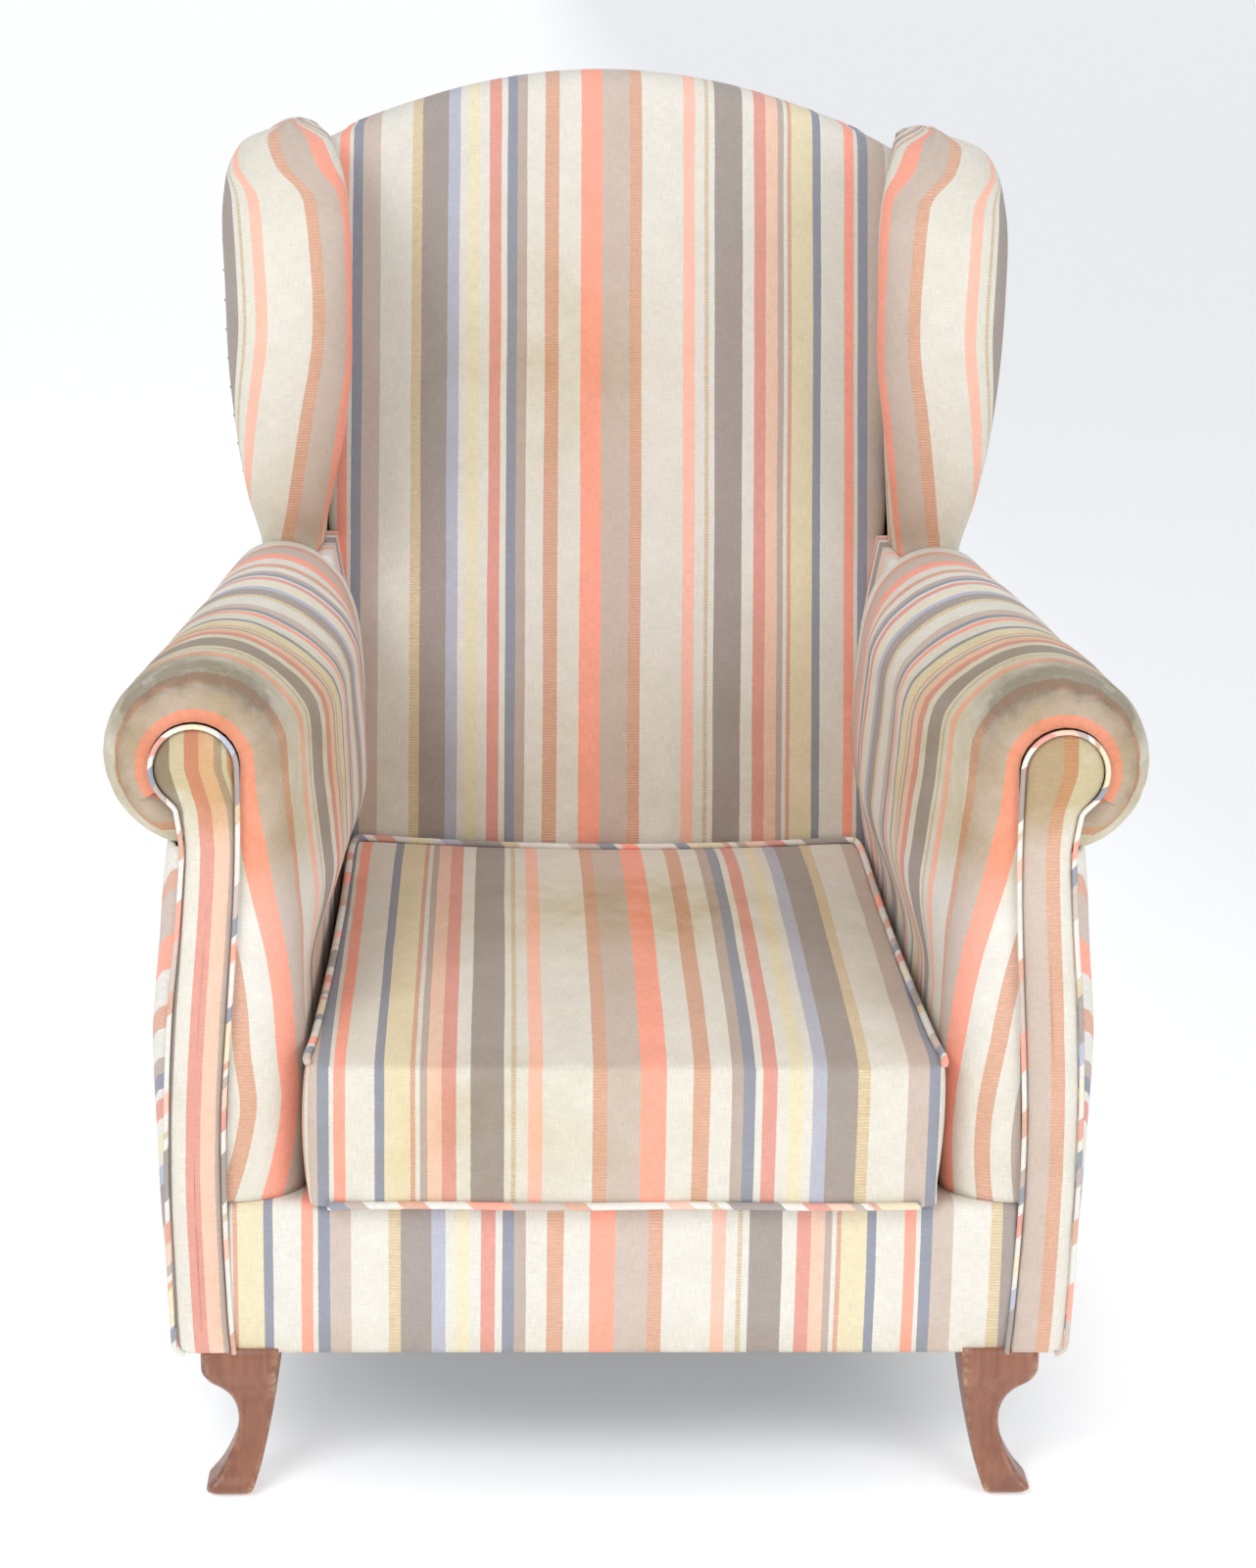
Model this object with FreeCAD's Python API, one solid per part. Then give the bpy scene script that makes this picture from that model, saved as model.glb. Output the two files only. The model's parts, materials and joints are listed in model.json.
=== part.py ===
"""Wingback armchair with rolled arms, a loose seat cushion and short shaped legs.

Millimetres, +Z up, the front of the chair faces -Y.  While the pieces are made, y = 0 is the
covered face of the front seat rail.  The last step moves every piece back by DEPTH_CENTRE, so
that the origin ends up on the floor under the middle of the whole chair.
"""
import FreeCAD, Part
import math
import os

# Heights above the floor
GLIDE_HEIGHT = 3.0
FACING_BOTTOM = 123.0
COVER_BOTTOM = 123.0
FRAME_BOTTOM = 127.0
RAIL_TOP = 225.0
DECK_BOTTOM = 230.2
DECK_TOP = 247.0
CUSHION_SEAM = 362.0
ARM_TOP_REAR = 650.0
BACK_TOP = 1056.0
BACK_SHOULDER = 988.0

# Plan: half widths across the chair and depths behind the front face
OUTER_FRONT = 347.0
OUTER_REAR = 300.0
OUTER_REAR_Y = 600.0
INNER_FRONT = 248.0
INNER_REAR = 238.0
SEAT_DEPTH = 540.0
SEAT_SIDE_TOP = 378.0
ARM_END = 507.0
BACK_HALF_LOW = 240.0
BACK_HALF_TOP = 272.0
DEPTH_CENTRE = 409.8

# Rake of the back: horizontal run over rise
OUTSIDE_SLOPE = 222.0 / 877.0
INSIDE_SLOPE = 204.0 / 676.0

# Thicknesses and set-backs
BOARD = 25.0
WING_BOARD = 20.0
POST_DEPTH = 28.0
POST_WIDTH = 26.0
POST_INSET = 6.0
RAIL_FRONT = 8.0
RAIL_REAR = RAIL_FRONT + POST_DEPTH
POST_TOP = 962.0
LEG_KICK = 62.0
BACK_FRAME = 45.0
COVER = 5.0
PANEL = 4.0
WEB_SPACE = 5.0
ARM_PADDING = 34.0

# Arm roll: centre, radius and how far the front edge is rounded over
ROLL_X = 323.0
ROLL_Z = 591.0
ROLL_RADIUS = 70.5
ROLL_X_REAR = 288.0
ROLL_Z_REAR = 612.0
ROLL_RADIUS_REAR = 50.5
ROLL_START = 2.0
ROLL_ROUNDING = 40.0
CORE_FRONT = 34.3
CORE_REAR = 29.0
ROLL_CHORDS = 20
CORE_CHORDS = 9
FACE_CHORDS = 5
DISC_RADIUS = 30.0
PIPING_RADIUS = 2.0

# Arm facing: places along the neck's two edges, x and z, then the hollow under the head
NECK_INNER = [(302.5, FACING_BOTTOM), (307.5, 272.0), (301.0, 405.0), (294.3, 500.0), (292.8, 560.0)]
NECK_OUTER = [(343.5, FACING_BOTTOM), (347.5, 270.0), (343.0, 390.0), (336.0, 462.0), (331.3, 520.0)]
NECK_HOLLOW = (334.0, 552.0)
HEAD_END = -42.0

# Seat cushion
CUSHION_FRONT = -12.0
CUSHION_REAR = 537.0
CUSHION_BOTTOM = 247.5
CUSHION_RISE = 20.0
CUSHION_CROWN = 21.0
CUSHION_CLEARANCE = 7.6
CUSHION_DRAWN_IN = 4.0
CUSHION_SWELL = 4.0
CUSHION_EDGE = 12.0
COVER_CLOTH = 2.5

# Webbing straps
STRAP_WIDTH = 50.0
STRAP_THICKNESS = 1.6
STRAP_LIFT = 0.9
WEB_STAND_OFF = 2.4
SEAT_ROW_PITCH = 82.0
SEAT_COLUMN_PITCH = 81.6
BACK_ROW_PITCH = 112.0
BACK_COLUMN_PITCH = 84.0


def vec(x, y, z):
    return FreeCAD.Vector(x, y, z)


def line(start, end):
    return Part.LineSegment(start, end).toShape()


def arc(start, middle, end):
    return Part.Arc(start, middle, end).toShape()


def loft(wires):
    """Closed solid through the given closed wires, straight from each one to the next."""
    return Part.makeLoft(wires, True, True)


def polygon(points):
    return Part.makePolygon(points + [points[0]])


def bow(start, middle, end, chords):
    """Points of the arc through three places, without its last one, for a section with flat facets."""
    curve = Part.Arc(start, middle, end)
    step = (curve.LastParameter - curve.FirstParameter) / chords
    points = [curve.value(curve.FirstParameter + step * index) for index in range(chords)]
    if points[0].distanceToPoint(start) > points[0].distanceToPoint(end):
        points = [curve.value(curve.LastParameter - step * index) for index in range(chords)]
    return points


def sweep_points(centre, size, first, last, chords):
    """Places round a centre in the XZ plane, from one angle in degrees to another."""
    places = []
    for index in range(chords + 1):
        angle = math.radians(blend(first, last, index / chords))
        places.append(centre + vec(size * math.cos(angle), 0, size * math.sin(angle)))
    return places


def bead(path, normal, radius):
    """Eight-sided cord along a flat path; each section stands square to the path's direction."""
    sections = []
    for index, place in enumerate(path):
        before = path[max(index - 1, 0)]
        after = path[min(index + 1, len(path) - 1)]
        along = after - before
        along.normalize()
        aside = along.cross(normal)
        corners = []
        for step in range(8):
            angle = math.radians(45 * step + 22.5)
            corners.append(place + aside * (radius * math.cos(angle)) + normal * (radius * math.sin(angle)))
        sections.append(polygon(corners))
    return loft(sections)


def skin(sections):
    """Closed solid between flat sections with equal numbers of points, all in plane triangles."""
    faces = [Part.Face(polygon(sections[0][::-1])), Part.Face(polygon(sections[-1]))]
    for near, far in zip(sections, sections[1:]):
        for index, low in enumerate(near):
            following = (index + 1) % len(near)
            faces.append(Part.Face(polygon([low, near[following], far[index]])))
            faces.append(Part.Face(polygon([near[following], far[following], far[index]])))
    return Part.makeSolid(Part.makeShell(faces))


def prism(points, direction):
    """Solid made by pushing a flat polygon along a vector."""
    return Part.Face(polygon(points)).extrude(direction)


def prism_x(points_yz, x0, x1):
    return prism([vec(x0, y, z) for y, z in points_yz], vec(x1 - x0, 0, 0))


def prism_y(points_xz, y0, y1):
    return prism([vec(x, y0, z) for x, z in points_xz], vec(0, y1 - y0, 0))


def prism_z(points_xy, z0, z1):
    return prism([vec(x, y, z0) for x, y in points_xy], vec(0, 0, z1 - z0))


def block(x0, x1, y0, y1, z0, z1):
    return Part.makeBox(x1 - x0, y1 - y0, z1 - z0, vec(x0, y0, z0))


def mirrored(shape):
    """The same piece on the other side of the chair."""
    return shape.mirror(vec(0, 0, 0), vec(1, 0, 0))


def blend(low, high, share):
    return low + (high - low) * share


def quarter(share):
    """Height of a quarter circle of radius 1, where share runs from 0 at its foot to 1."""
    return math.sqrt(1.0 - (1.0 - share) ** 2)


# Surfaces that several pieces share

def outer_x(y):
    """Covered outer side of the chair, which narrows towards the back."""
    return blend(OUTER_FRONT, OUTER_REAR, y / OUTER_REAR_Y)


def inner_x(y):
    """Inner face of the arm, low down beside the cushion."""
    return blend(INNER_FRONT, INNER_REAR, y / SEAT_DEPTH)


def outside_y(z):
    """Covered outside of the raked back."""
    return OUTER_REAR_Y + (z - COVER_BOTTOM) * OUTSIDE_SLOPE


def frame_rear_y(z):
    return outside_y(z) - COVER


def frame_front_y(z):
    return frame_rear_y(z) - BACK_FRAME


def inside_y(z):
    """Face of the inside back at its side edges, above the cushion."""
    return SEAT_DEPTH + 4.0 + (z - 385.0) * INSIDE_SLOPE


def back_half_width(z):
    return blend(BACK_HALF_LOW, BACK_HALF_TOP, (z - DECK_TOP) / (BACK_TOP - DECK_TOP))


def arch_z(x):
    """Arched top edge of the back."""
    return BACK_TOP - (BACK_TOP - BACK_SHOULDER) * (x / 270.0) ** 2


def raked_slab(front, rear, x_half):
    """Slab that leans with the outside back, between two distances in front of it."""
    low = 0.0
    high = 1200.0
    points = [(outside_y(low) - front, low), (outside_y(low) - rear, low)]
    points += [(outside_y(high) - rear, high), (outside_y(high) - front, high)]
    return prism_x(points, -x_half, x_half)


def arched_block(half_low, half_top, z_low, z_side, drop):
    """Tall block whose front view has straight sides and the arched top edge, lowered by drop."""
    top_middle = vec(0, 300, arch_z(0) - drop)
    right = vec(half_top, 300, z_side)
    left = vec(-half_top, 300, z_side)
    edges = [line(vec(-half_low, 300, z_low), vec(half_low, 300, z_low))]
    edges.append(line(vec(half_low, 300, z_low), right))
    edges.append(arc(right, top_middle, left))
    edges.append(line(left, vec(-half_low, 300, z_low)))
    return Part.Face(Part.Wire(edges)).extrude(vec(0, 700, 0))


def side_board(points_yz, inset, thickness):
    """Board lying against the outer side of the chair, inset from it, from a side-view outline."""
    face = Part.Face(polygon([vec(outer_x(y) - inset, y, z) for y, z in points_yz]))
    lean = (OUTER_FRONT - OUTER_REAR) / OUTER_REAR_Y
    inward = vec(-1.0, -lean, 0.0)
    inward.normalize()
    return face.extrude(inward * thickness)


# Wooden frame

def front_rail():
    return block(-298, 298, RAIL_FRONT, RAIL_REAR, FRAME_BOTTOM, RAIL_TOP)


def front_post():
    """Upright behind the arm facing, with a round head that carries the roll."""
    post = block(300, 332, RAIL_FRONT, RAIL_REAR, FRAME_BOTTOM, ROLL_Z - 18)
    head = Part.makeCylinder(DISC_RADIUS, POST_DEPTH, vec(ROLL_X, RAIL_FRONT, ROLL_Z), vec(0, 1, 0))
    return post.fuse(head).removeSplitter()


def post_inner_x(z):
    return outer_x(max(outside_y(z), OUTER_REAR_Y)) - POST_INSET - POST_WIDTH


def back_post():
    """Back upright and rear leg sawn from one plank; the leg kicks back below the seat."""
    leg_top = COVER_BOTTOM - 3.0
    sections = []
    for z in (GLIDE_HEIGHT, 35.0, 75.0, leg_top, POST_TOP):
        below = max(0.0, (leg_top - z) / leg_top)
        kick = LEG_KICK * below ** 1.4
        front = frame_front_y(z) + kick + 10.0 * below
        rear = frame_rear_y(z) + kick - 6.0 * below
        inner = post_inner_x(z) + 3.0 * below
        outer = post_inner_x(z) + POST_WIDTH
        corners = [vec(inner, front, z), vec(outer, front, z), vec(outer, rear, z), vec(inner, rear, z)]
        sections.append(polygon(corners))
    return loft(sections)


def side_rail():
    rear = OUTER_REAR_Y + 20
    front = RAIL_REAR + 2.2
    outline = [(front, FRAME_BOTTOM), (rear, FRAME_BOTTOM), (rear, RAIL_TOP), (front, RAIL_TOP)]
    rail = side_board(outline, PANEL, BOARD)
    return rail.cut(raked_slab(COVER + BACK_FRAME, -300, 500))


def raked_rail(z0, z1, front, rear):
    """Rail between the back posts, lying in the rake of the back."""
    slab = raked_slab(front, rear, 280)
    return slab.common(block(-280, 280, 300, 1000, z0, z1))


def crest_rail():
    outline = arched_block(262, 262, 930, arch_z(262) - 22, 22)
    return outline.common(raked_slab(COVER + BACK_FRAME, COVER + 13, 400))


def arm_rail():
    """Tapered rail inside the roll, from the head of the front post to the wing board."""
    sections = []
    for y, half in ((RAIL_REAR, 22), (520, 14)):
        x, z, _ = roll_axis(y)
        corners = [vec(x - half, y, z - half), vec(x + half, y, z - half)]
        corners += [vec(x + half, y, z + half), vec(x - half, y, z + half)]
        sections.append(polygon(corners))
    return loft(sections)


def arm_tack_rail():
    """Low rail that the inside arm cover is tacked to."""
    inner_front = inner_x(RAIL_REAR) + ARM_PADDING + 2.5
    inner_rear = inner_x(520) + ARM_PADDING + 0.2
    outline = [(inner_front, RAIL_REAR), (inner_front + 24, RAIL_REAR)]
    outline += [(inner_rear + 24, 520), (inner_rear, 520)]
    return prism_z(outline, 256, 296)


def wing_board():
    """Side board of the wing with the upright that stands on the side rail."""
    inset = 5.0
    front = 522.0

    def at(y, z):
        return vec(outer_x(y) - inset, y, z)

    edges = [line(at(front, RAIL_TOP), at(560, RAIL_TOP))]
    edges.append(line(at(560, RAIL_TOP), at(560, 600)))
    edges.append(arc(at(560, 600), at(595, 636), at(frame_front_y(665), 665)))
    edges.append(line(at(frame_front_y(665), 665), at(frame_front_y(965), 965)))
    edges.append(arc(at(frame_front_y(965), 965), at(585, 970), at(474, 880)))
    edges.append(arc(at(474, 880), at(482, 770), at(front, 672)))
    edges.append(line(at(front, 672), at(front, RAIL_TOP)))
    lean = (OUTER_FRONT - OUTER_REAR) / OUTER_REAR_Y
    inward = vec(-1.0, -lean, 0.0)
    inward.normalize()
    return Part.Face(Part.Wire(edges)).extrude(inward * WING_BOARD).cut(between_wings(0.0))


def corner_block():
    """Triangular block between front and side rail, which takes the leg bolt."""
    inner_a = outer_x(RAIL_REAR) - PANEL - BOARD - 0.3
    inner_b = outer_x(98) - PANEL - BOARD - 0.3
    return prism_z([(inner_a, RAIL_REAR), (inner_b, 98), (inner_a - 62, RAIL_REAR)], FRAME_BOTTOM, BLOCK_TOP)


def rear_corner_block():
    front = frame_front_y(FRAME_BOTTOM) + 20
    inner = outer_x(outside_y(FRAME_BOTTOM)) - POST_INSET - POST_WIDTH
    return prism_z([(inner, front), (inner - 55, front), (inner, front - 20 - 34)], 135, 165)


# Front leg

LEG_BOLT_X = 285.0
LEG_BOLT_Y = 52.0
BOLT_RADIUS = 4.0
NUT_RADIUS = 7.5
NUT_HEIGHT = 7.0
BLOCK_TOP = 157.0


def front_leg():
    """Leg sawn in two directions: the front outline pushed back, cut by the side outline."""
    def front(x, z):
        return vec(x, -40, z)

    def side(y, z):
        return vec(200, y, z)

    bottom = GLIDE_HEIGHT
    edges = [line(front(263.4, FRAME_BOTTOM), front(327, FRAME_BOTTOM))]
    edges.append(line(front(327, FRAME_BOTTOM), front(327, 112)))
    edges.append(arc(front(327, 112), front(321, 97), front(306, 84)))
    edges.append(arc(front(306, 84), front(299, 62), front(308, 30)))
    edges.append(arc(front(308, 30), front(315.5, 17), front(324, 6)))
    edges.append(line(front(324, 6), front(321, bottom)))
    edges.append(line(front(321, bottom), front(288, bottom)))
    edges.append(arc(front(288, bottom), front(275, 50), front(263.4, FRAME_BOTTOM)))
    from_front = Part.Face(Part.Wire(edges)).extrude(vec(0, 160, 0))
    edges = [line(side(9, FRAME_BOTTOM), side(68, FRAME_BOTTOM))]
    edges.append(arc(side(68, FRAME_BOTTOM), side(44, 62), side(34, bottom)))
    edges.append(line(side(34, bottom), side(-1, bottom)))
    edges.append(line(side(-1, bottom), side(-4, 7)))
    edges.append(arc(side(-4, 7), side(6, 30), side(11, 58)))
    edges.append(arc(side(11, 58), side(5, 86), side(-3, 106)))
    edges.append(line(side(-3, 106), side(-3, FACING_BOTTOM - 0.3)))
    edges.append(line(side(-3, FACING_BOTTOM - 0.3), side(9, FACING_BOTTOM - 0.3)))
    edges.append(line(side(9, FACING_BOTTOM - 0.3), side(9, FRAME_BOTTOM)))
    from_side = Part.Face(Part.Wire(edges)).extrude(vec(200, 0, 0))
    return from_front.common(from_side)


def leg_bolt():
    shank = Part.makeCylinder(BOLT_RADIUS, 75, vec(LEG_BOLT_X, LEG_BOLT_Y, 95))
    corners = []
    for step in range(6):
        angle = math.radians(60 * step)
        corners.append((LEG_BOLT_X + NUT_RADIUS * math.cos(angle), LEG_BOLT_Y + NUT_RADIUS * math.sin(angle)))
    nut = prism_z(corners, BLOCK_TOP, BLOCK_TOP + NUT_HEIGHT)
    return shank.fuse(nut).removeSplitter()


def floor_glides():
    spots = [(305, 17), (-305, 17)]
    box = back_post().BoundBox
    rear_y = frame_rear_y(GLIDE_HEIGHT) + LEG_KICK - 6.0 - 16.0
    spots += [(box.XMax - 13, rear_y), (-box.XMax + 13, rear_y)]
    return Part.makeCompound([Part.makeCylinder(8, GLIDE_HEIGHT, vec(x, y, 0)) for x, y in spots])


def frame_tenons():
    """Loose beech tenons in the joints of the seat frame."""
    low = 145.0
    high = 207.0
    right = [block(274, 322, 17, 27, low, high), block(318, 330, 26, 62, low, high)]
    y = frame_rear_y((low + high) / 2) - BOARD / 2
    right.append(block(242, 286, y - 4, y + 4, low, high))
    return Part.makeCompound(right + [mirrored(tenon) for tenon in right])


# Webbing

def strap(start, end, crossings, first_over, across, width):
    """One strap in a local plane: it runs along its own axis and rises and dips at each crossing.

    The side view is a band of constant thickness whose middle line sits high over one crossing
    strap and low under the next; pushing it across by the width gives the strap.
    """
    middle = [(start, -1.6)]
    for index, place in enumerate(crossings):
        lift = STRAP_LIFT if (index % 2 == 0) == first_over else -STRAP_LIFT
        middle.append((place - STRAP_WIDTH / 2 - 3, lift))
        middle.append((place + STRAP_WIDTH / 2 + 3, lift))
    middle.append((end, -1.6))
    half = STRAP_THICKNESS / 2
    band = [(s, h - half) for s, h in middle] + [(s, h + half) for s, h in reversed(middle)]
    points = [vec(s, across - width / 2, h) for s, h in band]
    return prism(points, vec(0, width, 0))


def turned(shape):
    """The local strap turned to run along Y instead of X."""
    copy = shape.copy()
    copy.rotate(vec(0, 0, 0), vec(0, 0, 1), 90)
    return copy


def seat_webbing():
    """Straps interlaced over and under each other, on top of the seat rails."""
    level = RAIL_TOP + WEB_STAND_OFF
    across_y = [70 + SEAT_ROW_PITCH * step for step in range(6)]
    along_x = [-204 + SEAT_COLUMN_PITCH * step for step in range(6)]
    straps = []
    for row, y in enumerate(across_y):
        reach = outer_x(y + STRAP_WIDTH / 2) - PANEL - 4
        straps.append(strap(-reach, reach, along_x, row % 2 == 0, y, STRAP_WIDTH))
    for column, x in enumerate(along_x):
        runner = turned(strap(12, frame_rear_y(RAIL_TOP) - 3, across_y, column % 2 == 1, -x, STRAP_WIDTH))
        straps.append(runner)
    web = Part.makeCompound(straps)
    web.translate(vec(0, 0, level))
    return web


def back_webbing():
    """The same weave on the front faces of the back posts and rails, in their rake."""
    run = math.hypot(1.0, OUTSIDE_SLOPE)
    low = 262.0
    rise = 1030.0 - low
    along_v = [110.0 + BACK_ROW_PITCH * step for step in range(6)]
    along_x = [-168.0 + BACK_COLUMN_PITCH * step for step in range(5)]
    straps = []
    for row, v in enumerate(along_v):
        z = low + v / run
        reach = post_inner_x(z) + 11
        straps.append(strap(-reach, reach, along_x, row % 2 == 0, v, STRAP_WIDTH))
    for column, x in enumerate(along_x):
        top = (arch_z(abs(x) + STRAP_WIDTH / 2) - 26 - low) * run
        straps.append(turned(strap(4, min(top, rise * run), along_v, column % 2 == 1, -x, STRAP_WIDTH)))
    web = Part.makeCompound(straps)
    tilt = 90.0 - math.degrees(math.atan(OUTSIDE_SLOPE))
    web.rotate(vec(0, 0, 0), vec(1, 0, 0), tilt)
    cosine = 1.0 / run
    sine = OUTSIDE_SLOPE / run
    web.translate(vec(0, frame_front_y(low) - WEB_STAND_OFF * cosine, low + WEB_STAND_OFF * sine))
    return web


# Padding and covers

def roll_axis(y):
    """Middle of the arm roll at one depth, and how far along to the rear end that is."""
    straight = ROLL_START + ROLL_ROUNDING
    share = max(0.0, y - straight) / (ARM_END - straight)
    return blend(ROLL_X, ROLL_X_REAR, share), blend(ROLL_Z, ROLL_Z_REAR, share), share


def arm_section(y):
    """Section of the padded arm: the inner face, the roll round its hollow core, and the back.

    The core leaves room for the head of the post and for the arm rail, and the roll stays open
    underneath, where the post comes up.
    """
    centre_x, centre_z, share = roll_axis(y)
    forward = min(1.0, max(0.0, y - ROLL_START) / ROLL_ROUNDING)
    rounded = quarter(forward)
    radius = blend(DISC_RADIUS + 10, blend(ROLL_RADIUS, ROLL_RADIUS_REAR, share), rounded)
    core = blend(CORE_FRONT, CORE_REAR, share)
    lip = blend(-34.0, -66.0, min(1.0, max(0.0, y - 8.0) / 8.0))
    low_x = blend(302.0, inner_x(y), rounded)
    seat_x = blend(299.0, inner_x(y), rounded)
    middle_x = blend(290.3, blend(252.0, 229.0, share), rounded)
    back_low = blend(305.5, inner_x(y) + ARM_PADDING, math.sqrt(forward))
    back_high = blend(291.6, inner_x(y) + ARM_PADDING, forward)

    centre = vec(centre_x, y, centre_z)
    outside = sweep_points(centre, radius, 165, lip, ROLL_CHORDS)
    hollow = sweep_points(centre, core, lip, 205, CORE_CHORDS)
    seat = vec(seat_x, y, SEAT_SIDE_TOP)
    inner = bow(seat, vec(middle_x, y, 510.0), outside[0], FACE_CHORDS)
    back = [vec(back_high, y, centre_z - 50.0), vec(back_low, y, DECK_TOP)]
    return [vec(low_x, y, DECK_TOP)] + inner + outside + hollow + back


def arm_rear_section(y):
    """Section of the inside arm below the wing, where there is no roll."""
    seat = vec(inner_x(y), y, SEAT_SIDE_TOP)
    top = vec(246, y, ARM_TOP_REAR)
    back_x = inner_x(y) + ARM_PADDING
    inner = bow(seat, vec(228.0, y, 510), top, FACE_CHORDS)
    back = [top, vec(back_x, y, ARM_TOP_REAR), vec(back_x, y, DECK_TOP)]
    return [vec(inner_x(y), y, DECK_TOP)] + inner + back


def arm_padding():
    """Inside arm and roll, from the rounded front edge to the wing, and on to the inside back."""
    steps = [1.0 - math.cos(math.radians(15.0 * step)) for step in range(7)]
    rounding = [ROLL_START + ROLL_ROUNDING * step for step in steps]
    roll = skin([arm_section(y) for y in rounding + [ARM_END]])
    behind = skin([arm_rear_section(y) for y in (ARM_END, 625.0)])
    behind_frame = raked_slab(COVER + BACK_FRAME + WEB_SPACE, -200, 400)
    return roll.fuse(behind.cut(back_space()).cut(behind_frame))


def keyhole(grow, y):
    """Outline of the arm facing, grown outwards: a round head on a neck that bows to the side.

    The neck's inner edge runs straight up into the head; its outer edge turns out round a hollow.
    """
    radius = DISC_RADIUS + grow
    head = vec(ROLL_X, y, ROLL_Z)
    inner = [vec(x - grow, y, z) for x, z in NECK_INNER]
    outer = [vec(x + grow, y, z) for x, z in NECK_OUTER]
    hollow = vec(NECK_HOLLOW[0] + grow, y, NECK_HOLLOW[1])

    def rim(degrees):
        angle = math.radians(degrees)
        return head + vec(radius * math.cos(angle), 0, radius * math.sin(angle))

    edges = [arc(inner[0], inner[1], inner[2]), arc(inner[2], inner[3], inner[4]), line(inner[4], rim(180))]
    edges += [arc(rim(180), rim(135), rim(90)), arc(rim(90), rim(24), rim(HEAD_END))]
    edges += [arc(rim(HEAD_END), hollow, outer[4]), arc(outer[4], outer[3], outer[2])]
    edges.append(arc(outer[2], outer[1], outer[0]))
    return edges, outer[0], inner[0]


def arm_facing():
    """Padded board that closes the front of the arm, with a soft front edge."""
    sections = []
    for grow, y in ((-2.5, -6.0), (-0.7, -5.2), (0.0, -3.5), (0.0, 8.0)):
        edges, low_out, low_in = keyhole(grow, y)
        sections.append(Part.Wire(edges + [line(low_out, low_in)]))
    return loft(sections)


def facing_piping():
    """Cord sewn into the edge of the facing, up one side, round the head and down the other."""
    edges, low_out, _ = keyhole(PIPING_RADIUS, -3.5)
    chords = (6, 4, 1, 9, 13, 4, 2, 6)
    path = []
    for edge, count in zip(edges, chords):
        path += edge.discretize(count + 1)[:-1]
    return bead(path + [low_out], vec(0, 1, 0), PIPING_RADIUS)


def outer_arm_panel():
    """Cover of the outer side, tucked under the roll, with a step up behind the arm's end."""
    roll_front = ROLL_Z - ROLL_RADIUS * math.sin(math.radians(66)) - 4
    roll_rear = ROLL_Z_REAR - ROLL_RADIUS_REAR * math.sin(math.radians(66)) - 4
    outline = [(8.6, COVER_BOTTOM), (frame_rear_y(COVER_BOTTOM), COVER_BOTTOM)]
    outline += [(frame_rear_y(ARM_TOP_REAR), ARM_TOP_REAR), (ARM_END + 0.3, ARM_TOP_REAR)]
    outline += [(ARM_END + 0.3, roll_rear), (8.6, roll_front)]
    return side_board(outline, 0.0, PANEL - 0.2)


NOSE_CHORDS = 9
WING_STATIONS = [
    (650.0, 507.5, 16.0, 258.0, 308.0),
    (661.0, 507.3, 18.0, 256.0, 310.0),
    (705.0, 478.0, 26.0, 245.0, 319.0),
    (765.0, 456.0, 34.0, 234.0, 328.0),
    (830.0, 443.0, 40.0, 227.0, 333.0),
    (885.0, 441.0, 43.0, 226.0, 335.0),
    (930.0, 455.0, 44.0, 227.0, 337.0),
    (962.0, 480.0, 44.0, 231.0, 337.0),
    (990.0, 518.0, 42.0, 240.0, 332.0),
    (1007.0, 560.0, 38.0, 252.0, 321.0),
    (1016.0, 604.0, 30.0, 268.0, 304.0),
]


def wing_corners(station):
    """Corner points of one level of the wing, from its height, front edge, nose and two faces."""
    z, front, nose, inner, outer = station
    over_post = z > 980.0
    if over_post:
        rear = frame_rear_y(min(z, 1007.0)) - 0.3
    else:
        rear = frame_front_y(z) - WEB_SPACE
    rear_outer = min(outer, outer_x(rear)) - PANEL
    seat_side = back_half_width(z)
    nose_inner = vec(inner, front + nose, z)
    nose_tip = vec((inner + outer - PANEL) / 2, front, z)
    nose_outer = vec(outer - PANEL, front + nose, z)
    rear_out = vec(rear_outer, rear, z)
    rear_in = vec(seat_side, rear, z)
    back_in = vec(seat_side, inside_y(z) - 8, z)
    return nose_inner, nose_tip, nose_outer, rear_out, rear_in, back_in


def wing_padding():
    """Padded wing, lofted upwards through level outlines that bulge and then close over."""
    sections = []
    for station in WING_STATIONS:
        nose_inner, tip, nose_outer, rear_out, rear_in, back_in = wing_corners(station)
        nose = bow(nose_inner, tip, nose_outer, NOSE_CHORDS)
        sections.append(nose + [nose_outer, rear_out, rear_in, back_in])
    return skin(sections)


def wing_outer_panel():
    """Cover of the wing's outer side, which follows its bulge."""
    sections = []
    for station in WING_STATIONS[:-1]:
        nose_outer = wing_corners(station)[2]
        rear = frame_rear_y(station[0]) - 0.3
        rear_out = vec(min(station[4], outer_x(rear)) - PANEL, rear, station[0])
        outside = vec(PANEL - 0.2, 0, 0)
        gap = vec(0.2, 0, 0)
        sections.append([nose_outer + gap, rear_out + gap, rear_out + outside, nose_outer + outside])
    return skin(sections)


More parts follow.
